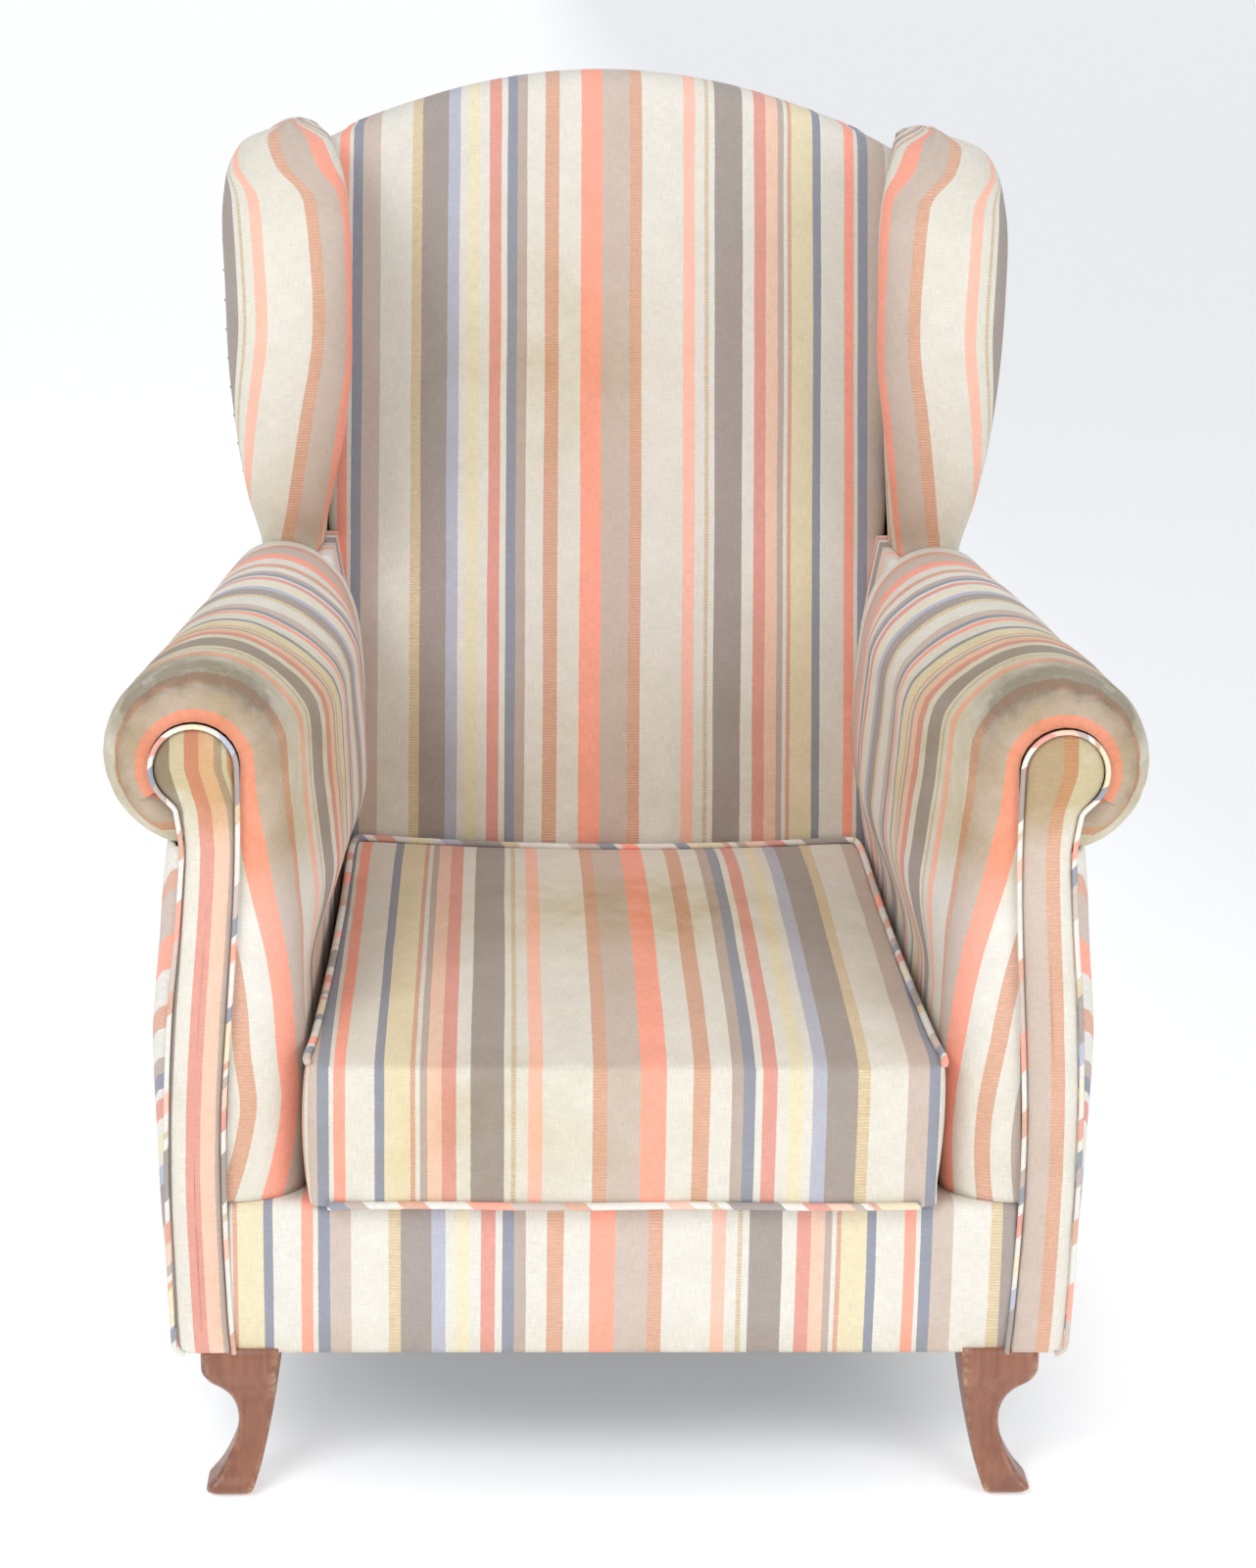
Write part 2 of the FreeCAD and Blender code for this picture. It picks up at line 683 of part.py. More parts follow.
def back_section(x):
    """Side view of the padded back at one place across it."""
    top = arch_z(x)
    bulge = 16.0 * (1.0 - (x / 300.0) ** 2)
    edge = 28.0
    low = (SEAT_DEPTH + 8, DECK_TOP + 0.3)
    seat = (SEAT_DEPTH + 4, 385.0)
    face_top = (inside_y(top - edge), top - edge)
    face_mid = ((seat[0] + face_top[0]) / 2 - bulge, (seat[1] + face_top[1]) / 2)
    crown_mid = (inside_y(top) + edge * 0.18, top - edge * 0.32)
    crown_end = (inside_y(top) + edge, top)
    rear = (frame_rear_y(top) - 20, top)
    rear_mid = (frame_rear_y(top) - 6, top - 6)
    rear_low = (frame_rear_y(top - 20) - 0.3, top - 20)
    foot = (frame_rear_y(DECK_TOP) - 0.3, DECK_TOP + 0.3)

    def at(point):
        return vec(x, point[0], point[1])

    face = bow(at(seat), at(face_mid), at(face_top), 7)
    crown = bow(at(face_top), at(crown_mid), at(crown_end), 5)
    over = bow(at(rear), at(rear_mid), at(rear_low), 3)
    return [at(low)] + face + crown + [at(crown_end)] + over + [at(rear_low), at(foot)]


def between_wings(gap):
    """Everything between the slanting planes where the inside back meets arms and wings."""
    low = back_half_width(DECK_TOP) - gap
    high = back_half_width(BACK_TOP) - gap
    return prism_y([(-low, DECK_TOP), (low, DECK_TOP), (high, BACK_TOP), (-high, BACK_TOP)], 400, 950)


def back_space():
    """Room that the arms leave free for the padded back, with flat faces."""
    forward = 7.0
    points = [(SEAT_DEPTH, DECK_TOP), (inside_y(385) - forward, 385), (inside_y(700) - forward, 700)]
    points += [(950, 700), (950, DECK_TOP)]
    return between_wings(0.0).common(prism_x(points, -300, 300))


def back_padding():
    form = skin([back_section(x) for x in (-272, -190, -95, 0, 95, 190, 272)])
    sides = between_wings(0.3)
    core = arched_block(400, 300, 0, arch_z(300) - 18, 18)
    core = core.common(raked_slab(COVER + BACK_FRAME + WEB_SPACE, -200, 450))
    return form.common(sides).cut(core)


def outside_back_panel():
    half_low = outer_x(outside_y(COVER_BOTTOM))
    half_top = outer_x(outside_y(985))
    outline = arched_block(half_low, half_top, COVER_BOTTOM, 984, 4)
    return outline.common(raked_slab(COVER - 0.2, 0, 400))


def front_border():
    """Cover of the front rail, rolled over its top edge."""
    half = 299.7
    top = DECK_TOP

    def at(y, z):
        return vec(-half, y, z)

    edges = [line(at(0, COVER_BOTTOM), at(0, top - 7)), arc(at(0, top - 7), at(2, top - 2), at(7, top))]
    edges += [line(at(7, top), at(40, top)), line(at(40, top), at(40, DECK_BOTTOM))]
    edges += [line(at(40, DECK_BOTTOM), at(8, DECK_BOTTOM)), line(at(8, DECK_BOTTOM), at(8, COVER_BOTTOM))]
    edges.append(line(at(8, COVER_BOTTOM), at(0, COVER_BOTTOM)))
    return Part.Face(Part.Wire(edges)).extrude(vec(2 * half, 0, 0))


def plan_sheet(front, rear, inset, z0, z1):
    """Flat sheet that follows the narrowing plan of the seat."""
    a = outer_x(front) - inset
    b = outer_x(rear) - inset
    return prism_z([(-a, front), (a, front), (b, rear), (-b, rear)], z0, z1)


# Loose seat cushion

def seam_height(y):
    """Height of the cushion's upper seams, which climb towards the back."""
    return CUSHION_SEAM + CUSHION_RISE * (y - CUSHION_FRONT) / (CUSHION_REAR - CUSHION_FRONT)


def cushion_section(y, inset):
    """Section across the cushion: flat bottom, swelling sides and a crowned top.

    fullness runs from 0 at the front or rear edge to 1 where the cushion has its full height,
    as a quarter circle does, and the sides pull in between the corners.
    """
    along = (y - CUSHION_FRONT) / (CUSHION_REAR - CUSHION_FRONT)
    edge = min(y - CUSHION_FRONT, CUSHION_REAR - y) - inset
    fullness = quarter(min(1.0, max(0.0, edge / CUSHION_EDGE)))
    pull = CUSHION_DRAWN_IN * math.sin(math.pi * along)
    half = inner_x(y) - CUSHION_CLEARANCE - pull - inset - CUSHION_EDGE * (1.0 - fullness)
    low = CUSHION_BOTTOM + inset + CUSHION_EDGE / 2 * (1.0 - fullness)
    seam = seam_height(y) - inset - CUSHION_EDGE / 3 * (1.0 - fullness)
    crown = CUSHION_CROWN * max(0.05, math.sin(math.pi * along)) ** 0.55
    middle = (low + seam) / 2
    left_low = vec(-half, y, low)
    right_low = vec(half, y, low)
    right_top = vec(half, y, seam)
    left_top = vec(-half, y, seam)
    edges = [line(left_low, right_low), arc(right_low, vec(half + CUSHION_SWELL, y, middle), right_top)]
    edges += [arc(right_top, vec(0, y, seam + crown), left_top)]
    edges.append(arc(left_top, vec(-half - CUSHION_SWELL, y, middle), left_low))
    return Part.Wire(edges)


def cushion_form(inset):
    """Crowned cushion whose sides pull in between the corners."""
    front = CUSHION_FRONT + inset
    rear = CUSHION_REAR - inset
    near_edge = (0.0, 3.0, 12.0)
    stations = [front + step for step in near_edge]
    stations += [50, 130, 265, 400, 480]
    stations += [rear - step for step in reversed(near_edge)]
    return loft([cushion_section(y, inset) for y in stations])


def cushion_piping_top():
    """Cord along both top side edges and round the rear of the cushion."""
    lift = 3.2
    radius = PIPING_RADIUS + 0.3
    rear_line = CUSHION_REAR + radius + 0.2
    corner = 34.0

    def side(y):
        along = (y - CUSHION_FRONT) / (CUSHION_REAR - CUSHION_FRONT)
        pull = CUSHION_DRAWN_IN * math.sin(math.pi * along)
        return vec(inner_x(y) - CUSHION_CLEARANCE - pull + 0.6, y, seam_height(y) + lift)

    path = [side(y) for y in (-3, 60, 130, 200, 265, 330, 400, 460)]
    turn = side(rear_line - corner)
    centre = turn - vec(corner, 0, 0)
    for step in range(7):
        angle = math.radians(15 * step)
        path.append(centre + vec(corner * math.cos(angle), corner * math.sin(angle), 0))
    return bead(path + [vec(-place.x, place.y, place.z) for place in reversed(path)], vec(0, 0, 1), radius)


def cushion_piping_front():
    """Cord along the lower front edge of the cushion."""
    radius = PIPING_RADIUS + 0.3
    half = INNER_FRONT - CUSHION_CLEARANCE - 14
    z = CUSHION_BOTTOM + radius + 0.2
    y = CUSHION_FRONT - radius
    return Part.makeCylinder(radius, 2 * half, vec(-half, y, z), vec(1, 0, 0))


ZIP_HALF = 190.0
ZIP_Z = 300.0


def zip_chain():
    """Closed zip in the rear of the cushion: a tape with a raised row of teeth."""
    tape = block(-ZIP_HALF, ZIP_HALF, CUSHION_REAR, CUSHION_REAR + 0.8, ZIP_Z - 12, ZIP_Z + 12)
    teeth = block(-ZIP_HALF, ZIP_HALF, CUSHION_REAR + 0.8, CUSHION_REAR + 2.2, ZIP_Z - 2.4, ZIP_Z + 2.4)
    return tape.fuse(teeth).removeSplitter()


def zip_slider():
    """Slider that straddles the teeth, with its pull tab hanging behind."""
    x0 = -ZIP_HALF + 4
    y0 = CUSHION_REAR + 1.2
    body = block(x0, x0 + 12, y0, y0 + 3.4, ZIP_Z - 5, ZIP_Z + 5)
    channel = block(x0 - 1, x0 + 13, y0 - 1, CUSHION_REAR + 2.6, ZIP_Z - 2.9, ZIP_Z + 2.9)
    tab = block(x0 + 3, x0 + 9, y0 + 3.4, y0 + 4.6, ZIP_Z - 26, ZIP_Z + 2)
    return body.cut(channel).fuse(tab).removeSplitter()


def cut_all(shape, tools):
    for tool in tools:
        shape = shape.cut(tool)
    return shape


def build():
    """All pieces of the chair by name, still in the making position."""
    pieces = {}

    post = back_post()
    front_upright = front_post()
    wing = wing_board()
    tenons = frame_tenons()
    bolt = leg_bolt()
    leg = front_leg().cut(bolt)
    posts = [post, mirrored(post)]

    pieces["front_rail"] = front_rail().cut(tenons)
    pieces["back_rail"] = cut_all(raked_rail(FRAME_BOTTOM, RAIL_TOP, COVER + BOARD, COVER), posts).cut(tenons)
    lumbar_front = COVER + BACK_FRAME
    pieces["lumbar_rail"] = cut_all(raked_rail(262, 312, lumbar_front, lumbar_front - 28), posts)
    pieces["crest_rail"] = cut_all(crest_rail(), posts)
    pieces["frame_tenons"] = tenons
    pieces["floor_glides"] = floor_glides()
    pieces["seat_webbing"] = seat_webbing()
    pieces["back_webbing"] = back_webbing()
    blocks = corner_block().cut(bolt)
    rear_block = rear_corner_block().cut(post)
    all_blocks = [blocks, mirrored(blocks), rear_block, mirrored(rear_block)]
    pieces["corner_blocks"] = Part.makeCompound(all_blocks)
    pieces["leg_bolts"] = Part.makeCompound([bolt, mirrored(bolt)])
    pieces["front_border"] = front_border()
    boards = [wing, mirrored(wing)]
    pieces["seat_deck"] = cut_all(plan_sheet(40, 575, 6, DECK_BOTTOM, DECK_TOP), boards)
    legs = [leg, mirrored(leg)]
    under = plan_sheet(9, 594, 7, COVER_BOTTOM + 2, FRAME_BOTTOM)
    pieces["dust_cover"] = cut_all(under, legs + posts + [bolt, mirrored(bolt)])
    pieces["back_padding"] = back_padding()
    pieces["outside_back_panel"] = outside_back_panel()

    wing_pad = cut_all(wing_padding(), [wing, post])

    right = {
        "front_leg": leg,
        "front_post": front_upright.cut(tenons),
        "back_post": post.cut(tenons),
        "side_rail": side_rail().cut(tenons),
        "arm_rail": arm_rail(),
        "arm_tack_rail": arm_tack_rail(),
        "wing_board": wing,
        "arm_padding": arm_padding(),
        "arm_facing": arm_facing(),
        "facing_piping": facing_piping(),
        "outer_arm_panel": outer_arm_panel(),
        "wing_padding": wing_pad,
        "wing_outer_panel": wing_outer_panel(),
    }
    for name, shape in right.items():
        pieces[name + "_right"] = shape
        pieces[name + "_left"] = mirrored(shape)

    cushion = cushion_form(0.0)
    foam = cushion_form(COVER_CLOTH)
    pieces["cushion_cover"] = cushion.cut(foam)
    pieces["cushion_filling"] = foam
    pieces["cushion_piping_top"] = cushion_piping_top()
    pieces["cushion_piping_front"] = cushion_piping_front()
    pieces["zip_chain"] = zip_chain()
    pieces["zip_slider"] = zip_slider()
    return pieces


def main():
    """Build every piece, move it into its final frame and write one file for each."""
    os.makedirs("parts", exist_ok=True)
    whole = FreeCAD.BoundBox()
    pieces = build()
    for name, shape in pieces.items():
        shape.translate(vec(0, -DEPTH_CENTRE, 0))
        shape.exportStep("parts/" + name + ".step")
        whole.add(shape.BoundBox)
        print(name, "solids", len(shape.Solids), "valid", shape.isValid(), "cm3", round(shape.Volume / 1000, 1))
    print("box", whole)


main()
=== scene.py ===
import json
import math

import bmesh
import bpy
import numpy as np
from mathutils import Matrix, Vector


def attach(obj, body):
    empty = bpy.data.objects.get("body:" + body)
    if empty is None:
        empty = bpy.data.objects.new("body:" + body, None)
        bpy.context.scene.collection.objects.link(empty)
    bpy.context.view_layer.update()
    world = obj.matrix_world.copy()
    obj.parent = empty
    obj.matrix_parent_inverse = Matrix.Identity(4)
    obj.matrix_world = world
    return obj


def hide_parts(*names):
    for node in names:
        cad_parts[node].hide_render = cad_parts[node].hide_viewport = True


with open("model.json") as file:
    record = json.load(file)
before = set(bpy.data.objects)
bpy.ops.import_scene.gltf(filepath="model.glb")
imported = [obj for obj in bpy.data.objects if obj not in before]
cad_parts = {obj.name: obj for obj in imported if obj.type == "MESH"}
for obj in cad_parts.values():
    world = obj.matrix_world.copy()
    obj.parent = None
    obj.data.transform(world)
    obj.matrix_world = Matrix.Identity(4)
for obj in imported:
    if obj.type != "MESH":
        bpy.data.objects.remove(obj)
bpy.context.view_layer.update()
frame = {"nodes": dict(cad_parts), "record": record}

# Making positions are metres from the rail's front face (y), the middle (x) and the floor (z).
DEPTH_CENTRE = 0.4098
COVER_BOTTOM = 0.123
DECK_TOP = 0.247
SEAT_SIDE_TOP = 0.378
ARM_TOP_REAR = 0.650
ARM_END = 0.507
BACK_TOP = 1.056
RAKE = 0.222 / 0.877
FACING_CORNER = 0.008
ROLL_START = 0.002
ROLL_ROUNDING = 0.040
ROLL = {"x": (0.323, 0.288), "z": (0.591, 0.612), "radius": (0.0705, 0.0505)}
DISC_RADIUS = 0.030
PIPING_RADIUS = 0.0020
# The facing's neck: heights, then its inner and its outer edge
NECK_LEVELS = (0.123, 0.146, 0.180, 0.225, 0.272, 0.320, 0.360, 0.405, 0.460, 0.500, 0.530, 0.560)
NECK_INNER = (0.3018, 0.3036, 0.3052, 0.3068, 0.3075, 0.3066, 0.3042, 0.3008, 0.2968, 0.2943, 0.2932, 0.2928)
NECK_OUTER = (0.3440, 0.3452, 0.3462, 0.3470, 0.3475, 0.3466, 0.3450, 0.3420, 0.3362, 0.3328, 0.3312, 0.3350)
CUSHION_FRONT = -0.012
CUSHION_REAR = 0.537
CUSHION_BOTTOM = 0.2475
CUSHION_SEAM = 0.362
CUSHION_RISE = 0.020
CUSHION_CLEARANCE = 0.0076
CUSHION_PIPING = 0.0030

# The cloth: one repeat of the woven stripes, in millimetres from the straw stripe
STRIPES = (
    ("straw", 19.5), ("slate", 7.5), ("linen", 21), ("coral", 9.5), ("linen", 3.5), ("slate", 8),
    ("light taupe", 16.5), ("linen", 29), ("gold", 10.5), ("dark taupe", 22), ("periwinkle", 12.5),
    ("linen", 6), ("pale straw", 12), ("linen", 8), ("rust", 11.5), ("linen", 4.5), ("slate", 10),
    ("taupe", 9), ("linen", 16), ("copper", 12), ("linen", 22), ("coral", 19.5), ("light taupe", 24),
    ("copper", 12), ("linen", 37), ("salmon", 11.5), ("linen", 8), ("thin gold", 5), ("linen", 5),
    ("dark taupe", 25), ("linen", 10.5), ("rust", 12), ("peach", 10), ("taupe", 5), ("linen", 4),
    ("copper", 5),
)
REPEAT = 0.464
CORAL_START = 0.2705
BACK_START = CORAL_START + 0.026
CUSHION_START = CORAL_START + 0.030
YARNS = {
    "linen": (228, 224, 216), "straw": (231, 219, 188), "pale straw": (233, 224, 196),
    "slate": (152, 155, 168), "periwinkle": (187, 189, 205), "coral": (254, 172, 152),
    "salmon": (252, 196, 178), "rust": (225, 163, 151), "peach": (239, 202, 182),
    "light taupe": (206, 190, 180), "taupe": (192, 176, 167), "dark taupe": (168, 158, 153),
    "gold": (229, 215, 182), "thin gold": (222, 212, 186), "copper": (229, 183, 162),
}
CHENILLE = ("gold", "thin gold", "copper")


def linear(rgb):
    """Linear colour of three sRGB numbers from 0 to 255."""
    share = np.asarray(rgb, float) / 255
    low = share / 12.92
    high = ((share + 0.055) / 1.055) ** 2.4
    return tuple(np.where(share <= 0.04045, low, high)) + (1.0,)


# Arithmetic on whole arrays

def blend(low, high, share):
    return low + (high - low) * share


def quarter(share):
    """Height of a quarter circle: the root of 1 less the square of 1 less the share."""
    return np.sqrt(np.clip(1 - (1 - share) ** 2, 0, 1))


def rise_from_edge(distance, steepness):
    """Quarter circle that reaches 1 where the distance times the steepness does."""
    return quarter(np.clip(steepness * distance, 0, 1))


def ease(share):
    """Smooth step from 0 to 1: three times the square less twice the cube."""
    share = np.clip(share, 0, 1)
    return share * share * (3 - 2 * share)


def through(at, places, values):
    """Smooth curve through values at rising places, by cubics with slopes meaned from the chords."""
    places = np.asarray(places, float)
    values = np.asarray(values, float)
    width = np.diff(places)
    chord = np.diff(values) / width
    slope = np.concatenate([chord[:1], (chord[1:] + chord[:-1]) / 2, chord[-1:]])
    at = np.clip(at, places[0], places[-1])
    piece = np.clip(np.searchsorted(places, at, side="right") - 1, 0, len(chord) - 1)
    t = (at - places[piece]) / width[piece]
    rise = width[piece] * ((t**3 - 2 * t**2 + t) * slope[piece] + (t**3 - t**2) * slope[piece + 1])
    return blend(values[piece], values[piece + 1], 3 * t**2 - 2 * t**3) + rise


def ripple(points, seed, wavelength, waves=9):
    """Gentle unevenness from -1 to 1: a sum of sines along seeded random directions."""
    rng = np.random.default_rng(seed)
    total = np.zeros(points.shape[:-1])
    for _ in range(waves):
        direction = rng.normal(size=3)
        direction *= 2 * math.pi / (wavelength * np.linalg.norm(direction) * rng.uniform(0.6, 1.7))
        total += np.sin(points @ direction + rng.uniform(0, 2 * math.pi))
    return total / waves**0.5 / 1.5


def run_length(points, axis=0):
    """Distance along a grid's rows or columns, from 0 at the first."""
    steps = np.linalg.norm(np.diff(points, axis=axis), axis=-1)
    start = np.zeros_like(np.take(steps, [0], axis=axis))
    return np.concatenate([start, np.cumsum(steps, axis=axis)], axis=axis)


def evenly(path, count):
    """Evenly spaced points along a path, read between its own by straight pieces."""
    step = run_length(path)
    even = np.linspace(0, step[-1], count)
    return np.stack([np.interp(even, step, column) for column in path.T], axis=1)


def grid_normals(points):
    """Unit normals of a grid: the cross product of its two directions."""
    along = np.gradient(points, axis=0)
    across = np.gradient(points, axis=1)
    normal = np.cross(along, across)
    return normal / np.maximum(np.linalg.norm(normal, axis=-1, keepdims=True), 1e-12)


def bow(start, middle, end, share):
    """Parabola through three points, for shares of the way: the two ends and the middle blended."""
    start, middle, end = (np.asarray(p, float)[..., None, :] for p in (start, middle, end))
    t = np.asarray(share)[:, None]
    return start * (1 - t) * (1 - 2 * t) + middle * 4 * t * (1 - t) + end * t * (2 * t - 1)


def stack(*columns):
    """Points from their x, y and z arrays, or cloth coordinates from two."""
    return np.stack(np.broadcast_arrays(*columns), axis=-1)


def between(start, end, share):
    """Rows of points on straight lines from start to end, at shares of the way."""
    return blend(start[:, None], end[:, None], share[:, None])


# Meshes

def mark_points(mesh, name, values):
    """Gives each point a number that the materials read by this name."""
    attribute = mesh.attributes.new(name, "FLOAT", "POINT")
    attribute.data.foreach_set("value", np.asarray(values, np.float32).ravel())


def piece(name, vertices, faces, material, uv=None, body="chair", slot=None, stands_for=(), marks=None,
          fix_normals=True):
    """Mesh object on its body, moved from the making frame to the model's.

    uv holds one pair for each corner of each face, in order; a piece in plain colour has none.
    """
    mesh = bpy.data.meshes.new(name)
    mesh.from_pydata((vertices - (0, DEPTH_CENTRE, 0)).tolist(), [], faces)
    mesh.update()
    if uv is None:
        uv = np.zeros((len(mesh.loops), 2))
    layer = mesh.uv_layers.new(name="cloth")
    layer.data.foreach_set("uv", np.asarray(uv, np.float32).ravel())
    for mark, values in (marks or {}).items():
        mark_points(mesh, mark, values)
    if fix_normals:
        work = bmesh.new()
        work.from_mesh(mesh)
        bmesh.ops.recalc_face_normals(work, faces=work.faces)
        work.to_mesh(mesh)
        work.free()
    mesh.polygons.foreach_set("use_smooth", [True] * len(mesh.polygons))
    mesh.materials.append(material)
    made = bpy.data.objects.new(name, mesh)
    bpy.context.scene.collection.objects.link(made)
    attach(made, body)
    if stands_for:
        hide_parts(*stands_for)
    return made


def grid_faces(rows, columns, around, first=0):
    """Corner numbers of a grid's quads, and the same with the wrapped column counted on."""
    wide = columns + 1 if around else columns
    row, column = np.meshgrid(np.arange(rows - 1), np.arange(wide - 1), indexing="ij")
    row, column = row.ravel(), column.ravel()
    following = (column + 1) % columns if around else column + 1
    shape = np.stack([row * columns + column, row * columns + following,
                      (row + 1) * columns + following, (row + 1) * columns + column], axis=1)
    laid = np.stack([row * wide + column, row * wide + column + 1,
                     (row + 1) * wide + column + 1, (row + 1) * wide + column], axis=1)
    return shape + first, laid


def end_caps(rows, columns, first=0):
    """The two faces that shut a closed grid's first and last row."""
    last = first + (rows - 1) * columns
    return [list(range(first, first + columns))[::-1], list(range(last, last + columns))]


def surface(name, points, cloth, material, around=False, capped=False, **fitting):
    """Grid of points with the cloth's own coordinates; around closes it, capped shuts both ends.

    On a closed grid the cloth has one column more than the points, where it comes round again.
    """
    rows, columns = points.shape[:2]
    shape, laid = grid_faces(rows, columns, around)
    faces = shape.tolist()
    uv = cloth.reshape(-1, 2)[laid.ravel()]
    if capped:
        faces += end_caps(rows, columns)
        uv = np.concatenate([uv, cloth[0, :columns][::-1], cloth[-1, :columns]])
    return piece(name, points.reshape(-1, 3), faces, material, uv, **fitting)


def cover(name, points, cloth, side=0, node=None, **fitting):
    """Cover in the striped cloth, which stands for its node: in the middle, or on the right or left."""
    hand = {0: "", 1: "_right", -1: "_left"}[side]
    if node:
        fitting["stands_for"] = [node + hand]
    placed = points * (-1, 1, 1) if side < 0 else points
    return surface(name + hand, placed, cloth, CLOTH, slot="striped_fabric", **fitting)


def closed_cloth(u, v, points):
    """Cloth coordinates for a closed grid: u is carried round, and v goes on over the join."""
    closing = np.linalg.norm(points[:, 0] - points[:, -1], axis=-1)[:, None]
    u = np.concatenate([u, u[:, :1]], axis=1)
    v = np.concatenate([v, v[:, -1:] + closing], axis=1)
    return np.stack([u, v], axis=-1)


def sheet_wall(made, outward, thickness):
    """Turns an open sheet's faces so that most look outward, and thickens it inwards."""
    mesh = made.data
    normals = np.zeros(len(mesh.polygons) * 3, np.float32)
    mesh.polygons.foreach_get("normal", normals)
    if (normals.reshape(-1, 3) @ np.array(outward)).sum() < 0:
        mesh.flip_normals()
    wall = made.modifiers.new("cloth thickness", "SOLIDIFY")
    wall.thickness = thickness
    wall.offset = -1.0
    return made


def tube(path, radius, sides=12, closed=False):
    """Round cord along a path: circles square to its direction, kept from twisting by one fixed up.

    Each circle's two axes are the cross products of the direction with the up vector.
    """
    path = np.asarray(path, float)
    along = np.gradient(path, axis=0)
    if closed:
        along = np.roll(path, -1, axis=0) - np.roll(path, 1, axis=0)
    along /= np.linalg.norm(along, axis=1, keepdims=True)
    flat = path - path.mean(axis=0)
    up = np.linalg.svd(flat, full_matrices=False)[2][-1]
    aside = np.cross(along, up)
    aside /= np.maximum(np.linalg.norm(aside, axis=1, keepdims=True), 1e-9)
    over = np.cross(aside, along)
    angle = np.arange(sides) * 2 * math.pi / sides
    ring = np.cos(angle)[None, :, None] * aside[:, None] + np.sin(angle)[None, :, None] * over[:, None]
    return path[:, None] + radius * ring, angle


# Materials

class Nodes:
    """Short way to add a material's nodes and join them."""

    def __init__(self, name):
        self.material = bpy.data.materials.new(name)
        self.material.use_nodes = True
        self.tree = self.material.node_tree
        self.shader = self.tree.nodes["Principled BSDF"]

    def add(self, kind, **settings):
        made = self.tree.nodes.new("ShaderNode" + kind)
        for key, value in settings.items():
            setattr(made, key, value)
        return made

    def join(self, source, target):
        if hasattr(source, "outputs"):
            source = source.outputs[0]
        self.tree.links.new(source, target)

    def place(self):
        """Where a point is on its object."""
        return self.add("TexCoord").outputs["Object"]

    def mark(self, name):
        """The number that the piece gives its points by this name."""
        return self.add("Attribute", attribute_name=name).outputs["Fac"]

    def apart(self, vector):
        """The x, y and z of a vector."""
        made = self.add("SeparateXYZ")
        self.join(vector, made.inputs[0])
        return made.outputs

    def put(self, value, socket):
        if isinstance(value, (int, float, tuple)):
            socket.default_value = value
        else:
            self.join(value, socket)

    def math(self, operation, first, second=0.0, third=0.0):
        made = self.add("Math", operation=operation)
        for value, socket in zip((first, second, third), made.inputs):
            self.put(value, socket)
        return made.outputs[0]

    def mix(self, factor, first, second, blend_type="MIX"):
        made = self.add("Mix", data_type="RGBA", blend_type=blend_type)
        self.put(factor, made.inputs["Factor"])
        self.put(first, made.inputs[6])
        self.put(second, made.inputs[7])
        return made.outputs[2]

    def noise(self, vector, scale, detail=2.0, roughness=0.5):
        made = self.add("TexNoise")
        made.inputs["Scale"].default_value = scale
        made.inputs["Detail"].default_value = detail
        made.inputs["Roughness"].default_value = roughness
        self.join(vector, made.inputs["Vector"])
        return made.outputs["Fac"]

    def stretched(self, vector, scale):
        made = self.add("Mapping")
        made.inputs["Scale"].default_value = scale
        self.join(vector, made.inputs["Vector"])
        return made.outputs[0]

    def spread(self, value, low, high, to_low=0.0, to_high=1.0):
        made = self.add("MapRange")
        self.put(value, made.inputs["Value"])
        for socket, number in zip(("From Min", "From Max", "To Min", "To Max"), (low, high, to_low, to_high)):
            made.inputs[socket].default_value = number
        return made.outputs[0]

    def bands(self, value, stops):
        """Colour ramp with flat bands, from places 0 to 1 and colours."""
        ramp = self.add("ValToRGB")
        ramp.color_ramp.interpolation = "CONSTANT"
        elements = ramp.color_ramp.elements
        while len(elements) > 1:
            elements.remove(elements[-1])
        elements[0].position, elements[0].color = stops[0]
        for place, colour in stops[1:]:
            elements.new(place).color = colour
        self.put(value, ramp.inputs["Fac"])
        return ramp.outputs["Color"]

    def set(self, **numbers):
        for name, value in numbers.items():
            self.shader.inputs[name.replace("_", " ")].default_value = value

    def bump(self, height, strength, distance):
        made = self.add("Bump")
        made.inputs["Strength"].default_value = strength
        made.inputs["Distance"].default_value = distance
        self.join(height, made.inputs["Height"])
        self.join(made.outputs[0], self.shader.inputs["Normal"])


def stripe_stops():
    """The repeat cut in two at the wide coral, each half as a list of places and colours."""
    halves = ([], [])
    relief = []
    place = 0.0
    for yarn, width in STRIPES:
        share = place / REPEAT / 1000
        halves[int(place / 1000 > CORAL_START - 1e-6)].append((share, linear(YARNS[yarn])))
        ribbed = 1.0 if yarn in CHENILLE else 0.0
        if not relief or relief[-1][1][0] != ribbed:
            relief.append((share, (ribbed,) * 3 + (1.0,)))
        place += width
    return halves[0], halves[1], relief


